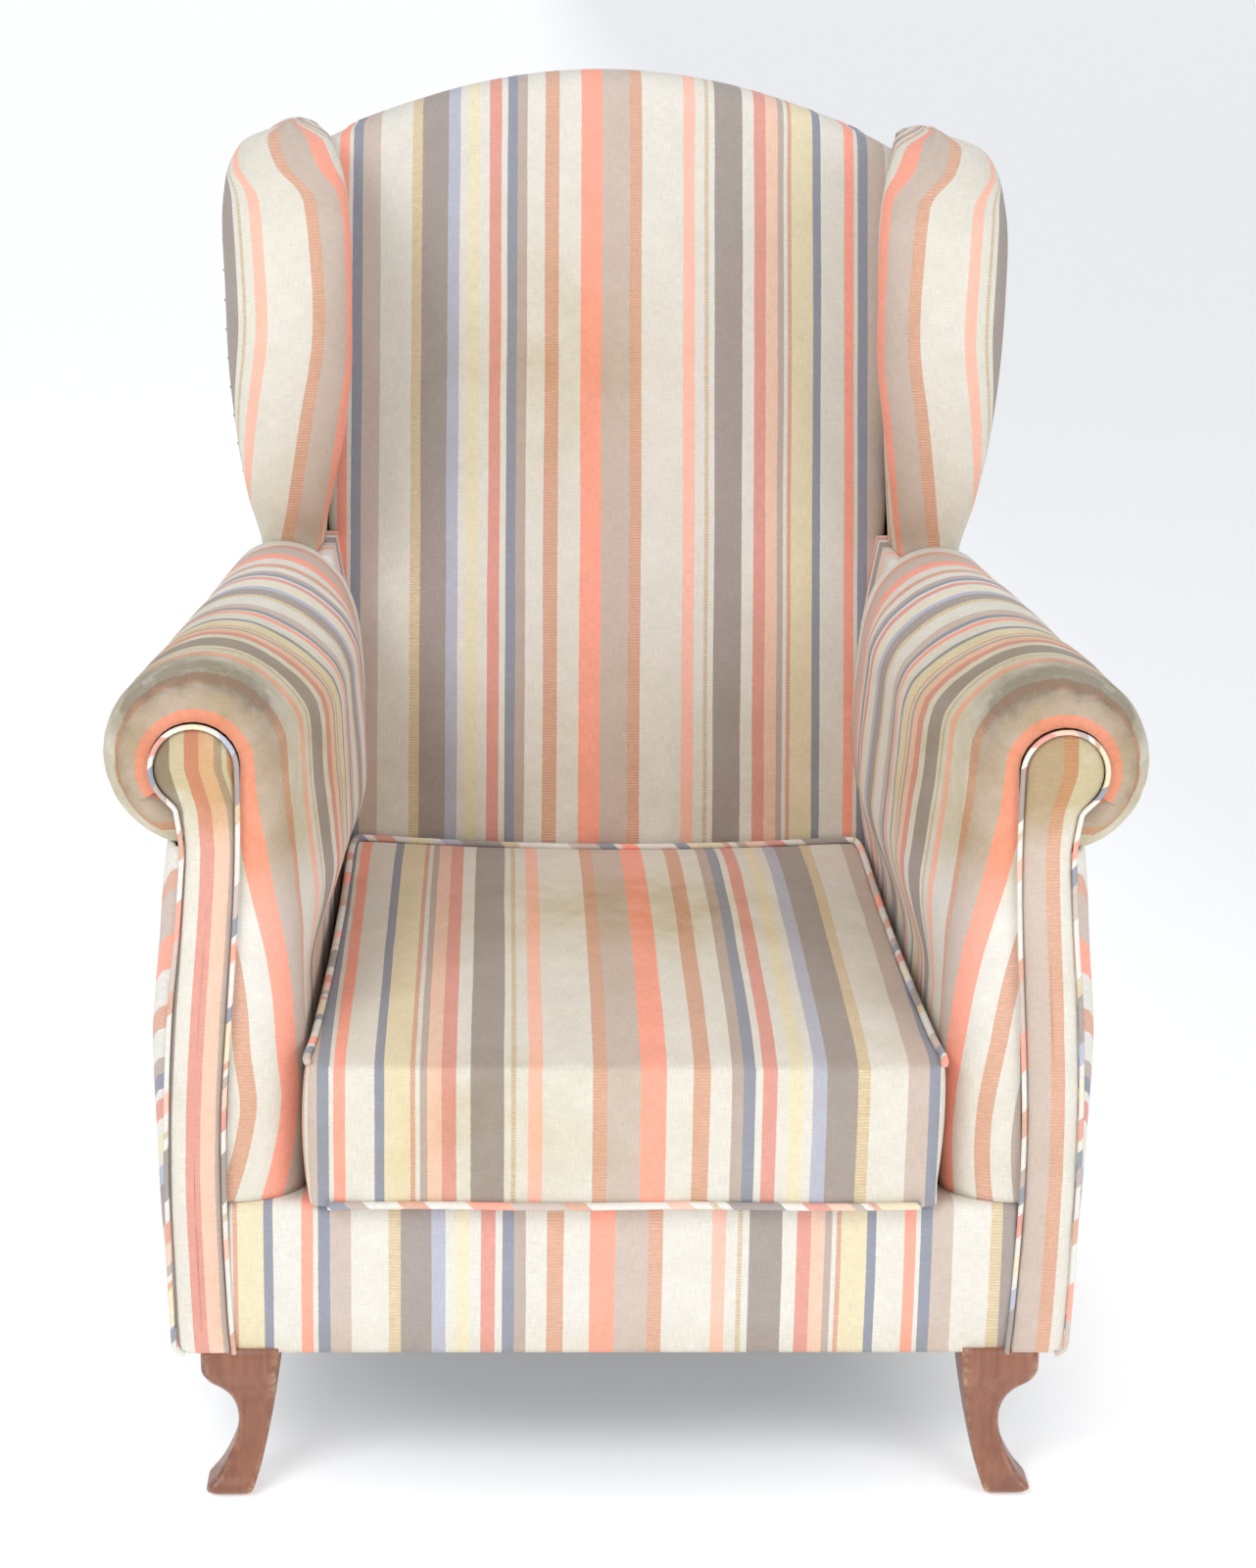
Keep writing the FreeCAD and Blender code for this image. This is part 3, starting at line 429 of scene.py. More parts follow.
def striped_cloth(name):
    """Woven stripes by the cloth's own coordinates, with chenille ribs, slubs, ageing and soil."""
    n = Nodes(name)
    cloth = n.add("UVMap", uv_map="cloth").outputs[0]
    across, along, _ = n.apart(cloth)

    waver = n.noise(n.stretched(cloth, (30, 6, 1)), 1.0, 2.0)
    fuzz = n.noise(n.stretched(cloth, (300, 900, 1)), 1.0, 1.0)
    moved = n.math("MULTIPLY_ADD", n.math("SUBTRACT", waver, 0.5), 0.0022, across)
    moved = n.math("MULTIPLY_ADD", n.math("SUBTRACT", fuzz, 0.5), 0.0011, moved)
    cycle = n.math("FRACT", n.math("MULTIPLY", moved, 1 / REPEAT))
    first, second, relief = stripe_stops()
    later = n.math("GREATER_THAN", cycle, CORAL_START / REPEAT)
    colour = n.mix(later, n.bands(cycle, first), n.bands(cycle, second))
    ribbed = n.bands(cycle, relief)

    thread_along = n.noise(n.stretched(cloth, (1400, 90, 1)), 1.0, 2.0, 0.6)
    thread_across = n.noise(n.stretched(cloth, (90, 1400, 1)), 1.0, 2.0, 0.6)
    mottled = n.noise(cloth, 34.0, 4.0, 0.65)
    slub = n.spread(n.math("ADD", thread_along, thread_across), 0.75, 1.25, 0.90, 1.07)
    patchy = n.spread(mottled, 0.3, 0.7, 0.965, 1.02)
    shade = n.add("CombineColor")
    for socket in shade.inputs:
        n.join(n.math("MULTIPLY", slub, patchy), socket)
    colour = n.mix(1.0, colour, shade, "MULTIPLY")

    rib_noise = n.noise(n.stretched(cloth, (160, 620, 1)), 1.0, 2.0, 0.5)
    rib_wave = n.math("SINE", n.math("MULTIPLY_ADD", rib_noise, 7.0, n.math("MULTIPLY", along, 2500.0)))
    tufts = n.spread(n.math("ADD", rib_wave, n.math("MULTIPLY", rib_noise, 2.0)), 0.2, 1.9)
    dark_tuft = n.math("MULTIPLY", n.math("MULTIPLY", tufts, ribbed), 0.42)
    colour = n.mix(dark_tuft, colour, linear((205, 160, 128)))

    ageing = n.mark("ageing")
    aged = n.math("MULTIPLY", ageing, n.spread(n.noise(cloth, 22.0, 4.0, 0.6), 0.25, 0.75, 0.45, 1.15))
    colour = n.mix(aged, colour, n.mix(1.0, colour, linear((216, 205, 170)), "MULTIPLY"))
    soil = n.mark("soil")
    grime = n.spread(n.noise(cloth, 60.0, 5.0, 0.7), 0.3, 0.7, 0.35, 1.2)
    soiled = n.add("Clamp")
    n.join(n.math("MULTIPLY", soil, grime), soiled.inputs[0])
    colour = n.mix(soiled, colour, n.mix(0.30, linear((112, 104, 92)), colour))
    n.join(colour, n.shader.inputs["Base Color"])

    weave = n.math("MULTIPLY", n.math("ADD", thread_along, thread_across), 0.5)
    raised = n.math("MULTIPLY", n.math("MULTIPLY", rib_wave, ribbed), 0.55)
    height = n.math("ADD", n.math("ADD", weave, raised), n.math("MULTIPLY", mottled, 0.6))
    n.bump(height, 0.55, 0.0009)
    n.set(Roughness=0.92, Sheen_Weight=0.12, Sheen_Roughness=0.5, Specular_IOR_Level=0.2)
    return n.material


def leg_wood():
    """Red-brown stained beech: long grain lines, and paler wear on the edges marked by the piece."""
    n = Nodes("stained_leg")
    place = n.place()
    grain = n.noise(n.stretched(place, (220, 220, 14)), 1.0, 5.0, 0.6)
    figure = n.noise(n.stretched(place, (30, 30, 3)), 1.0, 3.0)
    colour = n.mix(n.spread(grain, 0.3, 0.7), linear((92, 48, 34)), linear((140, 84, 60)))
    colour = n.mix(n.spread(figure, 0.35, 0.7, 0.0, 0.5), colour, linear((164, 108, 80)))
    worn = n.mark("worn")
    flaked = n.math("MULTIPLY", worn, n.spread(n.noise(place, 140.0, 4.0, 0.7), 0.42, 0.62))
    colour = n.mix(flaked, colour, linear((205, 164, 124)))
    n.join(colour, n.shader.inputs["Base Color"])
    n.join(n.spread(grain, 0.3, 0.7, 0.46, 0.34), n.shader.inputs["Roughness"])
    n.bump(grain, 0.25, 0.0006)
    n.set(Coat_Weight=0.25, Coat_Roughness=0.3)
    return n.material


def frame_wood():
    """Raw sawn beech: pale, with short flecks along the grain."""
    n = Nodes("sawn_beech")
    place = n.place()
    grain = n.noise(n.stretched(place, (40, 160, 160)), 1.0, 4.0, 0.6)
    fleck = n.noise(n.stretched(place, (300, 900, 900)), 1.0, 1.0)
    colour = n.mix(n.spread(grain, 0.3, 0.7), linear((196, 158, 112)), linear((222, 190, 146)))
    colour = n.mix(n.spread(fleck, 0.62, 0.72, 0.0, 0.5), colour, linear((160, 116, 76)))
    n.join(colour, n.shader.inputs["Base Color"])
    n.bump(fleck, 0.3, 0.0006)
    n.set(Roughness=0.75)
    return n.material


def plain_weave(name, light, dark, pitch=0.0012, depth=0.5):
    """Plain cloth: two crossing rows of threads on object coordinates."""
    n = Nodes(name)
    place = n.place()
    across, along, _ = n.apart(place)
    turn = 2 * math.pi / pitch
    warp, weft = (n.math("SINE", n.math("MULTIPLY", axis, turn)) for axis in (across, along))
    weave = n.math("MULTIPLY", warp, weft)
    uneven = n.noise(place, 90.0, 4.0, 0.6)
    tone = n.math("ADD", n.math("MULTIPLY", weave, 0.15), uneven)
    n.join(n.mix(n.spread(tone, 0.25, 0.75), linear(dark), linear(light)), n.shader.inputs["Base Color"])
    n.bump(n.math("ADD", weave, uneven), depth, 0.0006)
    n.set(Roughness=0.95, Sheen_Weight=0.1)
    return n.material


def hard_finish(name, light, dark, metallic, roughness):
    """Plastic or metal with faint scuffs."""
    n = Nodes(name)
    place = n.place()
    scuff = n.noise(place, 400.0, 5.0, 0.7)
    n.join(n.mix(n.spread(scuff, 0.3, 0.7), linear(dark), linear(light)), n.shader.inputs["Base Color"])
    n.join(n.spread(scuff, 0.3, 0.7, roughness, roughness * 0.75), n.shader.inputs["Roughness"])
    n.bump(scuff, 0.1, 0.0002)
    n.set(Metallic=metallic)
    return n.material


CLOTH = striped_cloth("striped_cloth")
LEG_WOOD = leg_wood()
FRAME_WOOD = frame_wood()
DUST_CLOTH = plain_weave("dust_cloth", (44, 44, 47), (28, 28, 30))
DECK_CLOTH = plain_weave("deck_lining", (206, 196, 172), (186, 174, 148))
JUTE = plain_weave("jute_webbing", (176, 148, 104), (132, 106, 70), 0.0026, 0.9)
ZIP_TAPE = plain_weave("zip_tape", (218, 214, 202), (196, 190, 176), 0.0009)
GLIDE = hard_finish("glide_plastic", (40, 36, 34), (24, 22, 21), 0.0, 0.5)
STEEL = hard_finish("zinc_steel", (176, 178, 182), (140, 142, 146), 1.0, 0.42)
ZIP_METAL = hard_finish("nickel_slider", (200, 196, 186), (160, 156, 148), 1.0, 0.34)
TACK = hard_finish("tack_head", (150, 140, 122), (96, 90, 80), 1.0, 0.5)


# Forms shared by several pieces

def inner_x(y):
    """Inner face of the arm low down, beside the cushion."""
    return blend(0.248, 0.238, y / 0.540)


def outer_x(y):
    """Covered outer side of the chair, which narrows towards the back."""
    return blend(0.347, 0.300, y / 0.600)


def outside_y(z):
    """Covered outside of the raked back."""
    return 0.600 + (z - COVER_BOTTOM) * RAKE


def inside_y(z):
    """Padded face of the raked back, before its bulge."""
    return 0.544 + (z - 0.385) * 0.204 / 0.676


def back_half(z):
    """Half of the padded back's width, from seat to top."""
    return blend(0.240, 0.272, (z - DECK_TOP) / (BACK_TOP - DECK_TOP))


def arch_top(x):
    """Top line of the back: a parabola falling 68 mm to the shoulders."""
    return BACK_TOP - 0.068 * (x / 0.270) ** 2


# Arms

# Points in an arm's section: low down, up the bow, and over the roll
ARM_STRAIGHT = 22
ARM_BOW = 44
ARM_ROLL = 84
ARM_SHOWN = ARM_STRAIGHT + ARM_BOW + ARM_ROLL
# Columns at which the stripes' lean stops, and at which the bulge does
LEAN_END = ARM_STRAIGHT + ARM_BOW + 20
BULGE_END = ARM_STRAIGHT + ARM_BOW + 36
BOW_LEVEL = 0.510


def arm_outline(y):
    """Closed sections of the padded arm at depths y: one row for each depth.

    The inner face is a straight and a bow; the roll is a circle from 165 degrees over the top to
    its lip; a return path runs inside it, round the hollow for the rail, and down the arm's back.
    The front rounds over as a quarter circle does, from the facing's edge to the full section.
    """
    share = np.clip((y - ROLL_START - ROLL_ROUNDING) / (ARM_END - ROLL_START - ROLL_ROUNDING), 0, 1)
    forward = np.clip((y - ROLL_START) / ROLL_ROUNDING, 0, 1)
    rounded = quarter(forward)
    centre = stack(blend(*ROLL["x"], share), y, blend(*ROLL["z"], share))
    radius = blend(DISC_RADIUS + 0.0045, blend(*ROLL["radius"], share), rounded)
    core = blend(0.0343, 0.029, share)
    lip = blend(-34.0, -80.0, np.clip((y - 0.006) / 0.008, 0, 1))
    low_x = blend(0.3045, inner_x(y), rounded)
    seat_x = blend(0.3015, inner_x(y), rounded)
    middle_x = blend(0.2925, blend(0.252, 0.229, share), rounded)
    back_low = blend(0.3060, inner_x(y) + 0.034, np.sqrt(forward))
    back_high = blend(0.2925, inner_x(y) + 0.034, forward)

    def circle(size, first, last, count):
        angle = np.radians(blend(np.asarray(first)[..., None], np.asarray(last)[..., None],
                                 np.linspace(0, 1, count)))
        x = centre[:, None, 0] + size[:, None] * np.cos(angle)
        z = centre[:, None, 2] + size[:, None] * np.sin(angle)
        return stack(x, y[:, None], z)

    roll = circle(radius, np.full_like(y, 165.0), lip, ARM_ROLL)
    hollow = circle(core, lip, np.full_like(y, 205.0), 18)
    deck = stack(low_x, y, DECK_TOP)
    seat = stack(seat_x, y, SEAT_SIDE_TOP)
    straight = between(deck, seat, np.linspace(0, 1, ARM_STRAIGHT))
    face = bow(seat, stack(middle_x, y, BOW_LEVEL), roll[:, 0], np.linspace(0, 1, ARM_BOW + 2)[1:-1])
    high = stack(back_high, y, centre[:, 2] - 0.050)
    low = stack(back_low, y, DECK_TOP)
    back = between(high, low, np.linspace(0, 1, 8))
    return np.concatenate([straight, face, roll, hollow, back], axis=1)


# How far the stripes run forward of the roll's on the inner face, by height, from the photograph
LEAN_LEVELS = (0.24, 0.266, 0.30, 0.325, 0.36, 0.40, 0.44, 0.475, 0.50, 0.53, 0.56, 0.62)
LEAN_LEFT = (0.034, 0.042, 0.050, 0.053, 0.0485, 0.044, 0.036, 0.026, 0.019, 0.012, 0.005, 0.0)
LEAN_RIGHT = (0.062, 0.065, 0.066, 0.064, 0.058, 0.050, 0.040, 0.029, 0.021, 0.013, 0.005, 0.0)
ARM_BULGE = 0.024
# Pleats round the roll's front: the angle of each in degrees, and its depth against the deepest
PLEATS = ((158, 0.7), (131, 1.0), (104, 0.6), (80, 1.0), (55, 0.8), (27, 1.0), (2, 0.8), (-22, 1.0))


def arm_padding(side):
    """Inside arm and roll, with pleats round the roll's front and a soft unevenness all over."""
    steps = 1 - np.cos(np.radians(np.linspace(0, 90, 26)))
    y = np.concatenate([ROLL_START + ROLL_ROUNDING * steps, np.linspace(0.045, ARM_END, 130)])
    points = arm_outline(y)
    rows, columns = points.shape[:2]
    near, level = points[..., 1], points[..., 2]
    inward = ARM_BULGE * ease((near - 0.015) / 0.17) * (1 - 0.55 * ease((near - 0.36) / 0.14))
    inward *= ease((level - 0.385) / 0.10) * ease((0.668 - level) / 0.075)
    inward[:, BULGE_END:] = 0
    points[..., 0] -= inward * ease((ROLL["x"][1] - points[..., 0]) / 0.03)
    angle = np.degrees(np.arctan2(level - ROLL["z"][0], points[..., 0] - ROLL["x"][0]))
    angle = np.where(angle < -100, angle + 360, angle)
    on_roll = ease((level - 0.47) / 0.06)
    front = np.exp(-((near - 0.016) / 0.016) ** 2)
    pleats = np.zeros((rows, columns))
    for turn, depth in PLEATS:
        pleats += depth * np.exp(-((angle - turn - 160 * (near - 0.01)) / 3.2) ** 2)
    soft = ripple(points, 3 if side > 0 else 8, 0.16)
    fine = ripple(points, 5, 0.045)
    height = 0.0013 * soft + 0.0003 * fine - 0.0021 * pleats * front * on_roll
    shown = np.zeros((rows, columns))
    shown[:, :ARM_SHOWN] = ease((y[:, None] - ROLL_START) / 0.008)
    points = points - grid_normals(points) * (height * shown)[..., None]

    path = run_length(points[:, :ARM_SHOWN], axis=0)
    path = np.concatenate([path, np.repeat(y[:, None] - y[0], columns - ARM_SHOWN, axis=1)], axis=1)
    near, level = points[..., 1], points[..., 2]
    forward = through(level, LEAN_LEVELS, LEAN_RIGHT if side > 0 else LEAN_LEFT)
    outside = (np.arange(columns) > LEAN_END)[None, :]
    u = CORAL_START + 0.010 + path - np.where(outside, 0.0, forward)
    v = np.repeat(run_length(points, axis=1).mean(axis=0)[None, :], rows, axis=0)

    over = ease((angle - 5) / 50) * ease((172 - angle) / 45)
    band = ease((near - 0.006) / 0.014) * ease((0.090 - near) / 0.065)
    soil = over * band * on_roll * (1.30 if side > 0 else 1.20)
    soil += 0.28 * front * on_roll * ease((angle + 60) / 40) * ease((200 - angle) / 30)
    ageing = on_roll * ease((0.36 - near) / 0.30) * 0.85 + 0.30 * ease((0.5 - level) / 0.2)
    return cover("arm_cover", points, closed_cloth(u, v, points), side, "arm_padding", around=True,
                 capped=True, marks={"soil": soil, "ageing": ageing})


def arm_behind_wing(side):
    """Inside arm from the wing's front back to the inside back: a bowed slab with the same cloth."""
    y = np.linspace(ARM_END - 0.004, 0.622, 26)
    seat = stack(inner_x(y), y, SEAT_SIDE_TOP)
    deck = stack(inner_x(y), y, DECK_TOP)
    top = stack(0.2465, y, ARM_TOP_REAR)
    straight = between(deck, seat, np.linspace(0, 1, 14))
    face = bow(seat, stack(0.2285, y, BOW_LEVEL), top, np.linspace(0, 1, 40)[1:])
    behind = stack(inner_x(y) + 0.030, y, ARM_TOP_REAR)
    below = stack(inner_x(y) + 0.030, y, DECK_TOP)
    back = between(behind, below, np.linspace(0, 1, 8))
    points = np.concatenate([straight, face, back], axis=1)
    shown = np.zeros(points.shape[:2])
    shown[:, 1:straight.shape[1] + face.shape[1] - 1] = 1
    points = points - grid_normals(points) * (0.0009 * ripple(points, 21, 0.14) * shown)[..., None]
    u = CORAL_START + points[..., 1] + 0.023
    v = np.repeat(run_length(points, axis=1).mean(axis=0)[None, :], len(y), axis=0)
    return cover("arm_cover_rear", points, closed_cloth(u, v, points), side, around=True, capped=True)


def keyhole(grow, count=150):
    """Outline of the facing in x and z: two bowed sides, a hollow on the outer side and a round head.

    The sides are smooth curves through given widths; the hollow is a smooth curve that runs from
    the outer side into the head's circle.
    """
    head_x, head_z = ROLL["x"][0], ROLL["z"][0]
    radius = DISC_RADIUS + grow
    turn = np.radians(np.linspace(180, -40, 90))
    head = np.stack([head_x + radius * np.cos(turn), head_z + radius * np.sin(turn)], axis=1)
    rise = np.linspace(NECK_LEVELS[0], 0.575, 60)
    side_in = np.stack([through(rise, NECK_LEVELS, NECK_INNER) - grow, rise], axis=1)
    corner = FACING_CORNER * (1 - np.sin(np.radians(np.linspace(0, 90, 8))))
    fall = np.append(np.linspace(0.560, 0.135, 52), NECK_LEVELS[0] + corner)
    rounded = FACING_CORNER * (1 - quarter(np.clip((fall - NECK_LEVELS[0]) / FACING_CORNER, 0, 1)))
    side_out = np.stack([through(fall, NECK_LEVELS, NECK_OUTER) + grow - rounded, fall], axis=1)
    return evenly(np.concatenate([side_in, head, side_out]), count)


def neck_middle(z):
    """Middle line of the facing: half-way between its edges, up to the head's centre."""
    middles = tuple((near + far) / 2 for near, far in zip(NECK_INNER, NECK_OUTER))
    return np.interp(z, NECK_LEVELS + (ROLL["z"][0],), middles + (ROLL["x"][0],))


def arm_facing(side):
    """Padded facing: rings drawn in from the outline to a middle line, rising as a quarter circle."""
    outline = keyhole(-0.0004)
    middle_z = np.clip(outline[:, 1], COVER_BOTTOM + 0.010, ROLL["z"][0])
    middle = stack(neck_middle(middle_z), middle_z)
    share = 1 - np.cos(np.radians(np.linspace(0, 90, 16)))
    rings = blend(outline[None], middle[None], np.append(0, share)[:, None, None] * 0.985)
    depth = np.append(0.008, 0.001 - 0.0085 * quarter(share))
    points = stack(rings[..., 0], depth[:, None], rings[..., 1])
    soft = ripple(points, 11 if side > 0 else 12, 0.08)
    points[2:, :, 1] += 0.0007 * soft[2:]
    across = points[..., 0] - neck_middle(points[..., 2])
    u = 0.3175 + across if side > 0 else 0.436 - across
    ageing = 0.25 + 1.1 * ease((points[..., 2] - 0.52) / 0.07)
    soil = 0.16 * ease((points[..., 2] - 0.60) / 0.03)
    cloth = stack(u, points[..., 2])
    cloth = np.concatenate([cloth, cloth[:, :1]], axis=1)
    return cover("arm_facing_cover", points, cloth, side, "arm_facing", around=True, capped=True,
                 marks={"ageing": ageing, "soil": soil})


def piping(name, path, radius, start, pitch=0.62, turns=0.55, **fitting):
    """Covered cord: its cloth is cut on the cross, so the stripes wind round it at a slant."""
    ring, angle = tube(path, radius)
    along = run_length(path)[:, None]
    cloth = stack(start + pitch * along + turns * radius * angle, 0.8 * along - radius * angle)
    closing = cloth[:, :1] + np.array([turns, -1.0]) * radius * 2 * math.pi
    cloth = np.concatenate([cloth, closing], axis=1)
    return surface(name, ring, cloth, CLOTH, around=True, capped=True, slot="piping_fabric", **fitting)


def facing_piping(side):
    """Cord round the facing's edge."""
    outline = keyhole(PIPING_RADIUS * 0.9, 260)
    path = stack(side * outline[:, 0], -0.0032, outline[:, 1])
    hand, start = ("right", 0.12) if side > 0 else ("left", 0.31)
    return piping("facing_piping_cover_" + hand, path, PIPING_RADIUS, start,
                  stands_for=["facing_piping_" + hand])


PANEL_FRONT = 0.0086
PANEL_INSET = 0.0052
# Heights of the outer cover and how far it bulges near the front, from the photograph
PANEL_PUFF = ((0.123, 0.14, 0.19, 0.27, 0.36, 0.38, 0.46, 0.52, 0.56),
              (0.004, 0.006, 0.009, 0.0137, 0.016, 0.0157, 0.008, 0.003, 0.001))


def outer_arm_panel(side):
    """Cover of the arm's outer side: a drawn sheet whose stripes fall at 45 degrees to the back.

    Its top follows the underside of the roll and steps up behind the arm's end.
    """
    a = np.linspace(0, 1, 120)[:, None]
    b = np.linspace(0, 1, 90)[None, :]
    near = blend(PANEL_FRONT, outside_y(ROLL["z"][1]) - PANEL_INSET, a)
    roll_front, roll_rear = (centre - radius * math.sin(math.radians(66)) - 0.001
                             for centre, radius in zip(ROLL["z"], ROLL["radius"]))
    under = blend(roll_front, roll_rear, np.clip(near / ARM_END, 0, 1))
    top = blend(under, ARM_TOP_REAR, ease((near - ARM_END - 0.002) / 0.008))
    z = COVER_BOTTOM + b * (top - COVER_BOTTOM)
    y = blend(PANEL_FRONT, outside_y(z) - PANEL_INSET, a)
    puff = 0.0028 * rise_from_edge(1 - a, 6) * rise_from_edge(np.minimum(b, 1 - b), 6)
    puff += (1 - 0.75 * ease((y - 0.10) / 0.38)) * through(np.minimum(z, 0.56), *PANEL_PUFF)
    edge = through(np.minimum(z, 0.53), NECK_LEVELS, NECK_OUTER) + 0.0012
    x = blend(edge, outer_x(y) - 0.0008 + puff, rise_from_edge(y - PANEL_FRONT, 1 / 0.040))
    points = stack(x, y, z)
    gathers = np.exp(-((1 - b) / 0.12) ** 2) * np.sin(y * 190) * 0.0010
    points[..., 0] += gathers + 0.0009 * ripple(points, 31, 0.13)
    cloth = stack(-0.0424 + (z + y) / math.sqrt(2), (y - z) / math.sqrt(2))
    made = cover("outer_arm_cover", points, cloth, side, "outer_arm_panel", fix_normals=False)
    return sheet_wall(made, (side, 0, 0), 0.0030)


# Wings

WING_LEVELS = (0.650, 0.661, 0.705, 0.765, 0.830, 0.885, 0.930, 0.962, 0.990, 1.007, 1.017)
WING_FRONT = (0.5075, 0.5073, 0.478, 0.456, 0.443, 0.441, 0.455, 0.480, 0.518, 0.556, 0.596)
WING_NOSE = (0.016, 0.018, 0.026, 0.034, 0.040, 0.043, 0.044, 0.044, 0.042, 0.038, 0.030)
WING_INNER = (0.258, 0.256, 0.245, 0.234, 0.227, 0.226, 0.227, 0.231, 0.240, 0.252, 0.270)
WING_OUTER = (0.308, 0.310, 0.319, 0.328, 0.333, 0.335, 0.337, 0.337, 0.332, 0.321, 0.303)
WING_CREST = 0.974
# The cloth's place on the nose, by height
NOSE_CLOTH = ((0.655, 0.70, 0.78, 0.86, 0.95, 0.967, 0.984, 1.00, 1.017),
              (0.317, 0.326, 0.3386, 0.350, 0.3435, 0.338, 0.320, 0.310, 0.303))


def wing_lines(level):
    """Front line, depth of the nose, inner side and outer side of the wing at a level."""
    return (through(level, WING_LEVELS, values) for values in (WING_FRONT, WING_NOSE, WING_INNER, WING_OUTER))


def wing_fall(level):
    """0 below the wing's crest line, 1 at its top."""
    return np.clip((level - WING_CREST) / (WING_LEVELS[-1] - WING_CREST), 0, 1)


def wing_rear(level):
    """The wing ends at the raked back, and its top rounds forward as a quarter ellipse."""
    rounded = blend(0.660, outside_y(WING_CREST) - 0.0055, np.sqrt(1 - wing_fall(level) ** 2))
    return np.where(level > WING_CREST, rounded, outside_y(level) - 0.0055)


def wing_padding(side):
    """Padded wing: level sections with a round nose, stacked upwards and drawn in to close the top."""
    rounding = np.sin(np.radians(np.linspace(3, 90, 22)))
    climb = np.concatenate([np.linspace(0, 0.90, 90), 0.90 + 0.10 * rounding])
    level = blend(WING_LEVELS[0], WING_LEVELS[-1], climb)
    front, nose, inner, outer = wing_lines(level)
    fall = wing_fall(level)
    rear = wing_rear(level)
    middle = (inner + outer) / 2
    width = (outer - inner) / 2
    seat_side = blend(back_half(level) + 0.004, middle - 0.6 * width, fall**2)
    turn = np.radians(np.linspace(180, 0, 72))
    arc = stack(middle[:, None] + width[:, None] * np.cos(turn),
                (front + nose)[:, None] - nose[:, None] * np.sin(turn) ** 0.92, level[:, None])
    back_in = stack(seat_side, np.minimum(inside_y(level) + 0.012, rear - 0.012), level)
    inner_side = between(back_in, arc[:, 0], np.linspace(0, 1, 50)[:-1])
    inner_side[..., 0] -= 0.004 * np.sin(np.linspace(0, math.pi, 49))
    rear_x = np.minimum(outer, blend(outer_x(rear), outer, fall))
    rear_out = stack(rear_x - 0.004, rear - 0.010 * fall, level)
    outer_side = between(arc[:, -1], rear_out, np.linspace(0, 1, 30)[1:])
    outer_side[..., 0] -= 0.004 * ease(np.linspace(0, 1, 29) * 8)
    rear_in = stack(seat_side, rear, level)
    points = np.concatenate([inner_side, arc, outer_side, rear_in[:, None]], axis=1)

    drawn = ease((climb - 0.955) / 0.045)[:, None]
    centre, narrow = middle[:, None], 0.15 * width[:, None]
    spine = np.clip(points[..., 0], centre - narrow, centre + narrow)
    points[..., 0] = blend(points[..., 0], spine, drawn**2 * 0.8)
    column = np.arange(points.shape[1])
    shown = ease(column / 6) * ease((len(column) - column) / 20)
    push = 0.0013 * ripple(points, 41 if side > 0 else 43, 0.13) + 0.0004 * ripple(points, 44, 0.04)
    points = points - grid_normals(points) * (push * shown)[..., None]

    path = run_length(points, axis=1)
    halfway = inner_side.shape[1] + arc.shape[1] // 2
    u = through(level, *NOSE_CLOTH)[:, None] + path - path[:, halfway:halfway + 1]
    u += 0.004 * ease((level[:, None] - 0.90) / 0.08)
    cloth = stack(u, level[:, None])
    cloth = np.concatenate([cloth, cloth[:, -1:] + (0.02, 0)], axis=1)
    ageing = 0.25 + 0.35 * ease((0.80 - points[..., 2]) / 0.15)
    return cover("wing_cover", points, cloth, side, "wing_padding", around=True, capped=True,
                 marks={"ageing": ageing})


def wing_outer_panel(side):
    """Cover of the wing's outer side, tacked along its front edge; it follows the wing's bulge."""
    level = blend(WING_LEVELS[0] + 0.001, 0.994, np.sin(np.radians(np.linspace(0, 90, 80))))
    front, nose, _, outer = wing_lines(level)
    rear = wing_rear(level)
    start = stack(outer - 0.0030, front + nose + 0.002, level)
    end = stack(np.minimum(outer, blend(outer_x(rear), outer, wing_fall(level))) - 0.0010, rear, level)
    share = np.linspace(0, 1, 60)
    points = between(start, end, share)
    points[..., 0] += 0.0030 * rise_from_edge(share, 14) + 0.002 * np.sin(math.pi * share)
    points[..., 0] += 0.0006 * ripple(points, 51, 0.12)
    cloth = stack(points[..., 1] - 0.072, points[..., 2])
    made = cover("wing_outer_cover", points, cloth, side, "wing_outer_panel", fix_normals=False)
    return sheet_wall(made, (side, 0, 0), 0.0028)


def dome_heads(name, places, direction, radius, height, material, slot, sides=10, rings=4):
    """Small round heads: each is a cap of circles whose size and rise follow a quarter circle."""
    turn = np.arange(sides) * 2 * math.pi / sides
    rise = np.radians(np.linspace(0, 84, rings))[:, None, None]
    direction = np.asarray(direction, float) / np.linalg.norm(direction)
    aside = np.cross(direction, (0.3, 0.2, 0.9))
    aside /= np.linalg.norm(aside)
    circle = np.cos(turn)[:, None] * aside + np.sin(turn)[:, None] * np.cross(direction, aside)
    cap = radius * np.cos(rise) * circle + height * np.sin(rise) * direction
    vertices = (places[:, None] + cap.reshape(-1, 3)).reshape(-1, 3)
    faces = []
    for first in range(0, len(vertices), rings * sides):
        faces += grid_faces(rings, sides, True, first)[0].tolist() + end_caps(rings, sides, first)
    return piece(name, vertices, faces, material, slot=slot)


def wing_tacks(side):
    """Row of small upholstery tacks down the front edge of the wing's outer cover."""
    level = np.linspace(0.700, 0.975, 12)
    front, nose, _, outer = wing_lines(level)
    places = stack(side * (outer + 0.0004), front + nose + 0.007, level)
    hand = "right" if side > 0 else "left"
    return dome_heads("wing_tacks_" + hand, places, (side, -0.25, 0.0), 0.0014, 0.0006, TACK, "steel")


# Back

